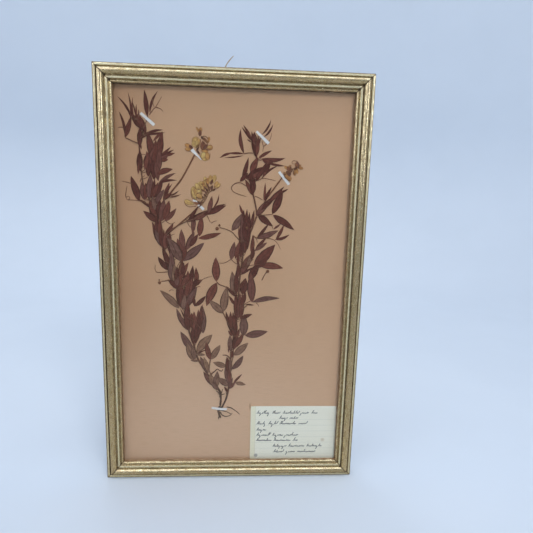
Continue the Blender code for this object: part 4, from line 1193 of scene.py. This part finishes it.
        (7.4, 323, 12.9, 346, 4.7, "m", 0.3), (4.9, 322.2, 13, 331, 4.6, "m"),
        (11, 325.4, 28.4, 337.4, 6.4, "m"), (13, 324.6, 30, 334.6, 5.4, "r"),
        (24, 326.6, 30.6, 341, 4.6, "m"), (20.6, 323, 28, 336, 4.4, "m"), (14.6, 322, 17, 333, 5, "m"),
    ],
    "leaves_right_shoulder": [
        (18.2, 309, 10, 324.6, 4.6, "r"), (18.2, 310, 19.2, 326.4, 5.2, "m"),
        (18.6, 310, 15.4, 325.6, 4, "m"), (29.6, 303.6, 30.4, 321.8, 2.7, "r", 0.2),
        (30.4, 302.8, 36.9, 317.8, 3.2, "m", -0.4), (22, 288.6, 36, 305.8, 7, "r"),
        (27, 294.6, 41.4, 309.6, 5.4, "m"), (33, 301.6, 49.8, 318.4, 4.2, "m"),
        (36, 303.6, 47.8, 315, 4, "r"), (44, 311, 53.9, 316.2, 2.1, "m"),
        (23.6, 290.4, 39.3, 278.3, 7.2, "m", 0.6), (23.6, 265.8, 35.3, 280.7, 3.4, "m"),
        (23.4, 265.4, 45.2, 274, 6.5, "g", 0.5), (21.6, 252, 33.2, 266.9, 3.9, "m", -0.3),
        (40, 275, 47.4, 280.8, 2.3, "m"), (43, 264.6, 50.6, 280, 3.7, "m", 0.6),
        (41.8, 264.7, 56.6, 269.9, 3.3, "m", 1.3), (21.4, 252.6, 34, 261.2, 4.4, "r"),
        (-2.6, 272.6, 8, 291, 7.8, "g", 0.9), (9.6, 288.4, 5, 299.5, 2.8, "m", -0.5),
        (7.6, 249, 9.2, 294.4, 7, "m"), (11.4, 249, 12.6, 295, 7.4, "r"), (13.6, 254, 15, 292, 5.6, "m"),
        (9, 256, 7.4, 290, 5.4, "r"), (11, 262, 10.4, 286, 6, "m"), (17, 276, 20, 294.4, 3.3, "m"),
        (5, 265.6, 4.6, 277.4, 2, "m"), (18.4, 249, 19.3, 268.8, 4.6, "r"),
    ],
    "leaves_right_middle": [
        (-3, 242.4, 0.4, 261.4, 6.6, "r"), (1.6, 244, 5.6, 262, 5.6, "r"), (6.4, 245, 9, 262, 5, "m"),
        (4.6, 248, 4, 237, 3.2, "m"), (8, 229, 17.4, 249, 8.4, "g"), (14, 237, 19.8, 251, 5, "g"),
        (18, 243, 20.6, 256, 4.8, "m"), (21, 237.4, 42.5, 259.2, 11.4, "r", 0.5),
        (25, 234.6, 36, 247, 6.4, "m"), (6.6, 227, 21, 235.6, 2.8, "m"), (16, 221, 26, 240.4, 8.6, "m"),
        (19.6, 197.8, 17.8, 230, 9.4, "g"), (9.6, 206, 12.4, 223.6, 8.8, "m"),
        (6.8, 213, 13, 222.4, 5, "r"), (1, 205, -1.6, 230.6, 8, "g"), (3.2, 206, 2.8, 232, 5.6, "m"),
        (4.6, 224, 5, 241, 4.4, "m"), (2.2, 203.6, -7.4, 214.8, 3.8, "m"),
        (1.5, 194.6, -4.7, 204.5, 3.3, "m"), (10, 195, 12.6, 208.8, 4.8, "m"),
        (13, 195.5, 22.2, 194.4, 1.9, "m"), (-10.4, 185.4, -25.2, 199.2, 8, "o"),
        (4, 178, 2.6, 208, 6, "m"), (6, 180, 7, 208, 5.4, "r"), (8.4, 178, 9.6, 207, 5.4, "m"),
        (8.4, 180, 20.2, 185, 4.4, "m"), (-3.6, 170, -7.6, 187.6, 3.8, "m"), (-2, 170, -3, 187.6, 3.8, "r"),
        (1.2, 170, 0, 187, 3.6, "m"),
    ],
}
left_stalks, right_stalks = Heap(), Heap()
for name, rows in LEAVES.items():
    heap = Heap()
    leaflets(heap, right_stalks if "right" in name else left_stalks, rows)
    heap.made(name, DRY_LEAF, "leaf")

# Leaf stalks that can be followed on their own: width at the foot, and places
LEFT_STALKS = [
    (1.2, "-94.6 356  -100.8 358.4  -107 361"),
    (1, "-84.8 382.4  -86.4 377  -90 369.6"),
    (0.9, "-92.4 361.4  -88.6 363.4  -84 366.4"),
    (0.7, "-93.4 345.6  -90 345.8  -87 345.4"),
    (1.2, "-68.4 267.6  -60 275  -46 282  -38 285  -30 291  -20 296"),
    (1.2, "-17.6 219.6  -15.4 216.8  -8.6 214  -1 210.2  4.6 206.6"),
    (0.6, "-36 219.2  -33 221  -28 223.4  -22 225"),
    (1.3, "-23.4 134.6  -24.4 128  -24.6 121.6  -23.2 118  -21.8 116.4"),
    (1.5, "-22.4 118  -19 120.4  -15.9 123  -13.6 121.4  -11.6 120.6  -10 122.8"),
    (1.6, "-54 241.4  -54.4 236  -55.6 229"),
    (0.7, "-48 181  -42.6 178  -31 165.4"),
    (0.9, "-61.6 226  -58.4 234  -54.2 241.2"),
    (0.8, "-57 212  -50.4 214.8  -45.2 219.8"),
]
RIGHT_STALKS = [
    (0.9, "8.2 349.4  13 350.4  19.6 350.2"),
    (0.9, "5 321.4  9 319.4  14 316"),
    (1.1, "22.4 288.6  29 289.2  38.8 290.4"),
    (0.9, "20.6 266.6  22.4 266  24.6 266.2"),
    (0.9, "-3 243.4  0 240.4  5.6 237"),
    (0.8, "12 163  6 161  1.6 160"),
    (1.3, "-10.8 186.8  -8.6 182  -6.4 177  -3.6 171"),
    (1.4, "-2.2 134.6  -4.2 137.4  -6.6 138.8  -10.6 138.8"),
    (1, "1.2 139  -0.6 131  -1.8 122"),
    (1.1, "9.4 190.6  12 192.2  15 194.6"),
    (0.9, "26 238.4  18 237.2  9 234.4"),
    (0.9, "19 199.6  12 196  5.6 192.6"),
    (0.9, "20.2 243.2  15 241.6  9 240"),
]
for heap, rows in ((left_stalks, LEFT_STALKS), (right_stalks, RIGHT_STALKS)):
    for width, route in rows:
        stalk(heap, places(route), (width, 0.7 * width), 0.3, tone=0.2, seed=width)
left_stalks.made("leaf_stalks_left", DRY_STEM, "stem")
right_stalks.made("leaf_stalks_right", DRY_STEM, "stem")

# ---------------------------------------------------------------------------------------------
# Tendrils and buds
# Hair-thin dried tendrils at the ends of the leaf stalks, some curled in rings, and a few
# small round flower buds on stalks of their own.

TENDRILS = [
    "-108 370.5  -111 370.8  -114 370", "-83.6 383  -80 388  -77.5 390.5  -74.4 395.4  -71.5 400.5",
    "-77.5 390.5  -74 389.6  -72 388.6  -70.5 386.5", "-85.6 297.6  -92 300  -98 301  -104 301.2",
    "-107.8 303.6  -108.2 306  -107.5 310  -106.5 315", "-101.6 317  -106 318.4  -111.5 319.5",
    "-94 319  -92 323  -89 325.5", "-69 281  -64 278.2  -60 280", "-28 288.5  -26 284  -24.5 281",
    "-23.5 280  -20 282  -17.5 282.5", "-65 266  -62.4 267.4  -60 268",
    "-68 229  -73 228.3  -79 228.5  -80.6 232  -80 236", "-38.2 213  -36 213.8  -34 213.5",
    "-47.4 280.2  -46.2 277.6  -44 275", "-66.6 208.4  -64.4 210  -61.8 209.4", "26 362  27.5 357  27 352",
    "28 357  30 359  34 364  35.5 370", "22 323.6  28 326  34 325.4  41 324",
    "5 321.5  0 320  -3.5 316  -2 312.5  3 310  11.5 307.5", "38 279  39 277  39.5 275",
    "30 266  36 265.4  41 264  45 260  48 254.5", "20 268  22.6 265  24 261",
    "20.4 308  24.6 306.6  28 304.5", "-3 243  -9 239.5  -12 238.8  -15 239", "24 197  26 195.4  27 193",
    "-80.3 397.4  -80 394  -78.6 390.4",
]
CURLED = 3  # this one ends in a ring
CURL_AT = (-106.0, 303.0)
CURL_R = 2.0
LOOPED = 18  # and this one is thicker than the rest
heap = Heap()
for count, route in enumerate(TENDRILS):
    route = places(route)
    if count == CURLED:
        for k in range(15):
            a = math.radians(30 * k - 90)
            radius = CURL_R * (1 - 0.02 * k)
            route.append((CURL_AT[0] + radius * math.cos(a), CURL_AT[1] + radius * math.sin(a)))
    width = 1.25 if count == LOOPED else 1.0
    stalk(heap, route, (width, 0.5), 0.3, None, 0.6, 6, 0.7, seed=count)
heap.made("tendrils", DRY_STEM, "stem")

BUD_STALKS = [
    "8.6 260.6  5.8 262.8  1.6 267  -2.4 271.4  -9 274.2  -15 275.6", "-65.4 220.6  -70 219.4  -74.6 218.8",
    "29.4 221.4  30.6 224  31.8 226.4  33.2 229  34.6 230.4",
]
# Each bud: x, z and radius
BUDS = [
    (-17.5, 274.5, 1.8), (-15.2, 277.9, 1.2), (-76.2, 217.3, 1.6), (-76.5, 220.3, 0.8), (35.2, 231.2, 1.7),
    (13, 276, 1.5),
]
BUD_RINGS = 7
BUD_SIDES = 12
heap = Heap()
for count, route in enumerate(BUD_STALKS):
    stalk(heap, places(route), (1.1, 0.8), 0.35, None, 0.35, 8, 0.9, seed=count)
for x, z, radius in BUDS:
    low = float(under(np.array([x]), np.array([z]))[0]) + 0.04
    tall = min(0.85, ROOM - low)
    points, grain = [], []
    for k in range(BUD_RINGS):
        a = math.pi * (k + 0.5) / BUD_RINGS
        for i in range(BUD_SIDES):
            b = math.tau * i / BUD_SIDES
            bulge = radius * math.sin(a) * (1 + 0.08 * math.sin(3 * b + x))
            high = low + tall / 2 + tall / 2 * math.cos(a)
            points.append((x + bulge * math.cos(b), SHEET_FRONT - high, z + bulge * math.sin(b)))
            grain.append((k / BUD_RINGS, math.cos(b), 0.8))
    heap.add(points, rings_joined(BUD_RINGS, BUD_SIDES), grain)
heap.made("flower_buds", DRY_STEM, "stem")

# ---------------------------------------------------------------------------------------------
# The paper tapes
# Six narrow strips of gummed white paper, cut by hand, which hold the plant to the sheet and
# rise over what they cross.

TAPE_ACROSS = 5  # points across a tape
TAPE_THICK = 0.1
TAPES = {
    "tape_left_tip": ((-91.8, 384.6), (-79.0, 373.8), 2.6, 2.9),
    "tape_upper_flower": ((-43.0, 352.0), (-33.6, 342.4), 3.5, 0.7),
    "tape_lower_flower": ((-41.4, 303.2), (-31.0, 293.4), 2.6, 2.6),
    "tape_right_tip": ((20.3, 371.3), (32.8, 360.0), 2.3, 3.0),
    "tape_right_flower": ((43.9, 333.0), (54.4, 320.6), 2.6, 2.7),
    "tape_root": ((-21.9, 77.9), (-5.3, 76.5), 2.6, 2.5),
}

WHITE_TAPE, tree, shader = new_material("white_paper_tape", 0.75)
fibres = use(tree, PAPER_FIBRES, Fineness=2200.0)
colour = blended(tree, fibres["Fibre"], (0.70, 0.64, 0.62), (0.81, 0.75, 0.72))
colour = stained(tree, colour, fibres["Cloud"], 0.25, (0.72, 0.66, 0.58))
dress(tree, shader, colour, fibres["Fibre"], 0.00008, 0.5)

for name, (start, end, first_width, last_width) in TAPES.items():
    start, end = Vector(start), Vector(end)
    way = (end - start).normalized()
    side = Vector((way.y, -way.x))
    steps = round((end - start).length / 0.5)
    x = np.zeros((steps + 1, TAPE_ACROSS))
    z = np.zeros_like(x)
    for k in range(steps + 1):
        t = k / steps
        width = first_width + (last_width - first_width) * t
        for i in range(TAPE_ACROSS):
            x[k, i], z[k, i] = start.lerp(end, t) + side * width * (i / (TAPE_ACROSS - 1) - 0.5)
    low = np.minimum(settle(x, z, 0.03, 0.0, 40), ROOM - 0.08)
    high = low + TAPE_THICK
    faces = sheet_faces(TAPE_ACROSS, steps + 1)
    piece(name, lying(x, z, (high, low)), faces, WHITE_TAPE, (name,), 50.0)
    record_top(x, z, high)

# ---------------------------------------------------------------------------------------------
# The flower heads
# Pea flowers pressed open: yellow petals faded to olive and ochre, each from a brown toothed
# calyx. The lower head is a whole spray of them, the other two have lost some.

PETAL_TONES = [
    (0.0, (0.68, 0.45, 0.15)),
    (0.45, (0.60, 0.27, 0.070)),
    (0.75, (0.25, 0.070, 0.030)),
    (1.0, (0.105, 0.020, 0.014)),
]
DRY_PETAL, tree, shader = new_material("dry_petal", 0.6)
dried = use(tree, DRIED_TISSUE, Veins=20.0, Wrinkle=1300.0)
colour = ramped(tree, dried["Tone"], PETAL_TONES)
at_claw = ranged(tree, dried["Along"], 0.0, 0.35, 0.5, 0.0)
colour = blended(tree, at_claw, colour, (0.17, 0.085, 0.045))
at_tip = ranged(tree, dried["Along"], 0.8, 1.0, 0.0, 0.35)
colour = blended(tree, at_tip, colour, (0.42, 0.24, 0.09))
deep = blended(tree, 1.0, colour, (0.68, 0.58, 0.50), "MULTIPLY")
colour = blended(tree, dried["Patch"], deep, colour)
colour = stained(tree, colour, dried["Vein"], 0.45, (0.24, 0.13, 0.06))
colour = stained(tree, colour, dried["Edge"], 0.7, (0.18, 0.072, 0.025))
dress(tree, shader, colour, dried["Height"], 0.0001)


def petal_outline(t):
    """A petal's half width: narrow at its claw and broad past the middle."""
    return math.sin(math.pi * min(1.0, 0.04 + 0.96 * t**1.45)) ** 0.62


# Each petal: base x and z, tip x and z, width and tone, and its bow if it has one. The last ones
# lie on top. Each crease or calyx: width, tone and places.
UPPER_PETALS = [
    (-38, 353.6, -39.3, 364.6, 8.4, 0.12), (-36.4, 354.6, -36.2, 363, 4.2, 0.3),
    (-38.6, 353.8, -42, 360, 5, 0), (-38.8, 355.6, -37.6, 360.6, 3.4, 0.02),
    (-42.8, 354.4, -49.9, 356.6, 4, 0.5), (-43, 352.8, -49.6, 351.8, 4, 0.42),
    (-42, 352.6, -45.6, 356.2, 3.3, 0.97), (-34.8, 367, -38.9, 373.8, 2.3, 0.5),
    (-34.6, 367.6, -34, 373.4, 3.4, 0.46), (-35.2, 364.6, -34.4, 371, 3.5, 0.9),
    (-32.8, 363.8, -26.6, 358.6, 3, 0.72), (-27.2, 358.6, -26, 364.8, 2.6, 0.45, 0.4),
    (-33.6, 365.2, -32.4, 361.6, 2.2, 0.98), (-31, 350.4, -32.3, 360.8, 6.6, 0.9),
    (-32.4, 351.6, -30.2, 357.6, 3.4, 0.8), (-31.6, 353, -27, 357.4, 3.6, 0.98),
    (-28.4, 354.2, -22.1, 354.8, 5.2, 0.5), (-27.4, 354.6, -23.4, 355.2, 2.6, 0.1),
    (-29.6, 351.8, -30, 341.1, 9.6, 0.15), (-28.8, 351.2, -26.9, 342.2, 5.2, 0.36),
    (-30.4, 350.6, -32.8, 343.4, 4.8, 0), (-33.8, 351, -26.6, 350.6, 2.8, 0.4),
    (-38.8, 350.2, -35.6, 355, 2.1, 0.97), (-38, 351.2, -34.8, 347.4, 2.3, 0.97),
]
UPPER_CREASES = [
    (0.9, 0.8, "-34.4 362  -34.8 359  -36.2 356.2  -39 354"),
    (1, 1, "-33.4 364  -31 365  -28.4 364.2  -27 361.8  -26.8 358.6"),
    (1, 1, "-32.8 363  -30 361  -27.2 357.2"),
    (0.8, 0.85, "-29.4 352.8  -27 351.9  -24.2 352.1  -22.4 353.6"),
    (0.6, 0.75, "-43.4 350.4  -46 350.2  -48.8 351.2  -49.8 353"),
    (0.5, 0.6, "-25.2 349.6  -25 346  -26.4 342.8"),
]
LOWER_PETALS = [
    (-40.6, 298.8, -50.5, 302.3, 5.2, 0.14, -0.6), (-38.6, 302.6, -41.7, 316.6, 6, 0.06, -0.8),
    (-36, 304, -40.2, 314.4, 4.6, 0.25), (-33, 309, -39.2, 319.8, 5.6, 0.06),
    (-33, 307.6, -37.6, 313.8, 3.6, 0), (-31, 304.6, -38.8, 308.6, 4.8, 0.3),
    (-32.2, 315.6, -36.6, 320.9, 3.4, 0), (-30.4, 311.6, -34.6, 321.9, 5.2, 0.14),
    (-29.8, 313.6, -31.6, 322.2, 3.6, 0.4), (-27.8, 315.2, -30.4, 326.4, 4.6, 0.12),
    (-27.4, 316.6, -26.6, 325.4, 3.6, 0.45), (-23.8, 318.2, -24.6, 328, 4.4, 0.2),
    (-22.8, 319.6, -19.4, 328.2, 5, 0.12), (-21.2, 315.8, -14.3, 319.6, 4.6, 0.18),
    (-20.8, 315.8, -17, 322, 4, 0.3), (-35.8, 298.4, -41.6, 300.8, 3, 0.7),
    (-33.6, 298.4, -37.6, 301.8, 3, 0.98), (-30, 303.4, -32.8, 306.8, 2.5, 0.98),
    (-28.2, 306, -31.2, 309.2, 2.3, 0.98), (-27.4, 308.4, -30.4, 312.2, 2.3, 0.95),
    (-26.4, 310.8, -29.2, 314.8, 2.5, 0.98), (-30.2, 311.4, -34.2, 313.6, 1.9, 0.92),
    (-25.2, 312, -26.6, 317.6, 2.5, 0.98), (-23.6, 312.4, -22.6, 318, 2.8, 0.98),
    (-28.4, 313.6, -31.2, 316.8, 1.7, 0.9), (-26.2, 316.2, -28.8, 320.4, 1.7, 0.9),
    (-24.4, 318.8, -21.8, 324, 2.9, 0.95), (-22.6, 312.2, -19.2, 314.8, 2.3, 0.98),
]
LOWER_CREASES = [
    (1.3, 1, "-35.8 296.2  -32.2 299.4  -29.4 303.6  -27.2 307.6  -25.6 311  -22.6 312.4  -20.2 313.4"),
    (1.5, 1, "-35 299.6  -32 303  -29.6 306.4  -27.6 310.4  -26.2 313.6  -24 316.6"),
    (0.9, 0.85, "-38.4 296.9  -42 296.1  -46 295.9  -49 297.8  -50.7 301.4"),
    (0.7, 0.8, "-39.4 302.8  -42.6 305  -43.7 309  -42.6 313.6"),
    (0.8, 0.88, "-38.8 308.4  -35.6 310.2  -32.2 308.8"),
    (0.7, 0.8, "-39 306  -35 303.8  -31.6 305.2"),
    (0.7, 0.8, "-37.6 312.6  -34.4 314.4  -32.4 317.6"),
    (0.6, 0.8, "-33.8 318.2  -31 319  -29.4 322.6"),
    (0.7, 0.85, "-30.6 322  -28.4 323.6  -26.6 322.6"),
    (0.6, 0.75, "-21.2 314.4  -18.6 314.3  -15.8 316  -14.4 318.6"),
]
RIGHT_PETALS = [
    (55.8, 324, 49.6, 333, 5, 0.5, -0.6), (54.6, 330, 56.2, 325, 2.8, 0.55),
    (53.4, 335.2, 49, 338.8, 3, 0.5), (52.8, 336.6, 56, 339.8, 2.6, 0.6),
    (60.4, 337.8, 59, 329.6, 3.1, 0.5), (61.4, 337.6, 62.6, 331.4, 2.9, 0.45),
    (62.2, 338, 68.4, 336.6, 3.3, 0.5), (62, 338.4, 66.2, 340.3, 2.3, 0.62),
    (55, 328.6, 53, 334.8, 4.6, 0.97), (54.2, 331.2, 51, 334, 3, 0.92), (54.6, 331.6, 55.6, 339, 3.7, 0.9),
    (53.4, 333.8, 52.4, 338.8, 3, 0.78), (56, 332.6, 57.8, 337, 1.9, 0.97),
    (63.8, 337, 61.1, 344.6, 3.6, 0.93), (62.4, 336.8, 59.6, 342.4, 2.8, 0.72),
    (58.8, 335.2, 62, 338.8, 2.5, 0.95),
]
RIGHT_CREASES = [
    (1, 0.98, "48.8 329.6  52 332  56.4 334.6  60.8 338.6"),
    (0.9, 0.88, "48.9 333  49 330  51.4 327  54 324.4  56.2 324.6"),
    (0.7, 0.82, "59.2 335.6  58.5 332.6  60 329.6  61.6 331.8"),
    (0.8, 0.8, "60.6 343.8  58.2 344.4  56.5 342.8  57.4 341.2  59.8 341"),
]
for name, petals, creases in (
    ("upper_flower_head", UPPER_PETALS, UPPER_CREASES),
    ("lower_flower_head", LOWER_PETALS, LOWER_CREASES),
    ("right_flower_head", RIGHT_PETALS, RIGHT_CREASES),
):
    heap = Heap()
    for bx, bz, tx, tz, width, tone, *bow in petals:
        seed = chance.uniform(0, 50)
        outline = petal_outline if tone < 0.7 else lance
        blade(heap, (bx, bz), (tx, tz), width, sum(bow), tone, outline, 0.07, 0.2, None, seed)
    for width, tone, route in creases:
        stalk(heap, places(route), (width, 0.7 * width), 0.22, tone=tone, seed=width)
    heap.made(name, DRY_PETAL, "petal", (name,))

# ---------------------------------------------------------------------------------------------
# The glass
# A pane of 2 mm picture glass in the rebate, in front of the plant. Lamps shine through it
# unbent, and it shows its Fresnel reflection.

GLASS, tree, shader = new_material("picture_glass", 0.0)
shader.inputs["Base Color"].default_value = (0.975, 0.99, 0.985, 1.0)
shader.inputs["Transmission Weight"].default_value = 1.0
shader.inputs["IOR"].default_value = 1.5
clear = put(tree, "ShaderNodeBsdfTransparent", Color=(0.93, 0.945, 0.94, 1.0))
rays = put(tree, "ShaderNodeLightPath").outputs
unbent = number(tree, "MAXIMUM", rays["Is Shadow Ray"], rays["Is Diffuse Ray"])
either = put(tree, "ShaderNodeMixShader", Fac=unbent)
plug(tree, either.inputs[1], shader.outputs[0])
plug(tree, either.inputs[2], clear.outputs[0])
plug(tree, tree.nodes["Material Output"].inputs["Surface"], either.outputs[0])
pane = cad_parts["glass_pane"]
pane.data.materials.clear()
pane.data.materials.append(GLASS)

# ---------------------------------------------------------------------------------------------
# The stage and the light
# A round pale blue-grey studio bowl: a floor that sweeps up into its wall on every side, with
# soft lamps above the camera, beside it and behind the frame. Gloss sees neither the bowl nor
# the lamps, but the light of the room.

BOWL_FLOOR_R = 0.95
BOWL_SWEEP_R = 0.55
BOWL_HEIGHT = 2.5
BOWL_SIDES = 96

STAGE_PAPER, tree, shader = new_material("stage_paper", 0.95)
shader.inputs["Specular IOR Level"].default_value = 0.0
cloud = use(tree, SPECKLE, Scale=3.0, Low=0.3, High=0.7)[0]
plug(tree, shader.inputs["Base Color"], blended(tree, cloud, (0.605, 0.67, 0.755), (0.625, 0.69, 0.775)))
section = [(0.3, 0.0), (0.6, 0.0), (BOWL_FLOOR_R, 0.0)]
for k in range(1, 17):
    a = math.radians(90 * k / 16)
    section.append((BOWL_FLOOR_R + BOWL_SWEEP_R * math.sin(a), BOWL_SWEEP_R * (1 - math.cos(a))))
section.append((BOWL_FLOOR_R + BOWL_SWEEP_R, BOWL_HEIGHT))
points = [(0.0, 0.0, 0.0)]
for radius, z in section:
    points += [(x, y, z) for x, y in circle(radius, BOWL_SIDES)]
faces = [(0, 1 + (i + 1) % BOWL_SIDES, 1 + i) for i in range(BOWL_SIDES)]
faces += rings_joined(len(section), BOWL_SIDES, False, 1)
mesh = bpy.data.meshes.new("stage")
mesh.from_pydata(points, [], faces)
mesh.materials.append(STAGE_PAPER)
mesh.shade_smooth()
stage = bpy.data.objects.new("stage", mesh)
bpy.context.scene.collection.objects.link(stage)
stage.visible_glossy = False
stage.visible_transmission = False

# Each lamp: name, place, what it shines at, size and power
LAMPS = [
    ("key", (0.42, -1.12, 1.12), (0.0, 0.0, 0.2), 0.4, 7.6),
    ("side", (-0.95, -0.85, 0.75), (0.0, 0.0, 0.2), 0.5, 1.1),
    ("back", (-0.45, 1.05, 1.0), (0.0, 0.0, 0.2), 0.5, 2.0),
    ("wall_left", (-0.3, -0.1, 2.2), (-0.4, 1.4, 0.6), 1.0, 1.8),
    ("wall_right", (0.5, -0.1, 2.2), (0.7, 1.3, 0.2), 1.0, 3.4),
]
for name, place, target, size, power in LAMPS:
    lamp = bpy.data.lights.new(name, "AREA")
    lamp.size = size
    lamp.energy = power
    made = bpy.data.objects.new(name, lamp)
    way = Vector(target) - Vector(place)
    made.matrix_world = Matrix.Translation(place) @ way.to_track_quat("-Z", "Y").to_matrix().to_4x4()
    made.visible_camera = False
    made.visible_glossy = False
    bpy.context.scene.collection.objects.link(made)

# How bright the room is at each height, from straight down to straight up, and its windows:
# which way each lies, how wide it is, how low and high it reaches, in degrees, and its light.
ROOM_LIGHT = places("0 0.3  0.22 0.46  0.36 0.27  0.5 0.17  0.62 0.22  0.8 0.6  1 0.7")
WARM, COOL = (1.06, 0.97, 0.78), (0.92, 0.96, 1.0)
WINDOWS = [
    (-27.0, 4.0, 2.0, 45.0, 3.8),
    (39.0, 6.0, 2.0, 45.0, 4.4),
    (-72.0, 9.0, 2.0, 45.0, 2.6),
    (0.0, 65.0, 58.0, 75.0, 3.2),
    (180.0, 75.0, -50.0, 40.0, 0.55),
]
world = bpy.data.worlds.new("room")
bpy.context.scene.world = world
world.use_nodes = True
tree = world.node_tree
x, y, z = split(tree, put(tree, "ShaderNodeTexCoord").outputs["Generated"])
stops = []
for height, bright in ROOM_LIGHT:
    tint = WARM if height < 0.7 else COOL
    stops.append((height, tuple(part * bright for part in tint)))
light = ramped(tree, plus(tree, times(tree, z, 0.5), 0.5), stops)
level = put(tree, "ShaderNodeCombineXYZ", X=x, Y=y).outputs[0]
level = put(tree, "ShaderNodeVectorMath", {"operation": "NORMALIZE"}, Vector=level).outputs[0]
for turn, wide, low, high, power in WINDOWS:
    turn, edge, core, rise, fall = (math.radians(a) for a in (turn, wide + 5, wide, low, high))
    toward = vectors(tree, "DOT_PRODUCT", level, (math.sin(turn), -math.cos(turn), 0.0), "Value")
    share = ranged(tree, toward, math.cos(edge), math.cos(core))
    rise, fall = math.sin(rise), math.sin(fall)
    share = times(tree, share, ranged(tree, z, rise - 0.06, rise + 0.06))
    share = times(tree, share, ranged(tree, z, fall - 0.02, fall + 0.04, 1.0, 0.0))
    light = blended(tree, share, light, (power, power, power))
plug(tree, tree.nodes["Background"].inputs["Color"], light)

bpy.context.scene.view_settings.view_transform = "Standard"
bpy.context.scene.view_settings.look = "None"
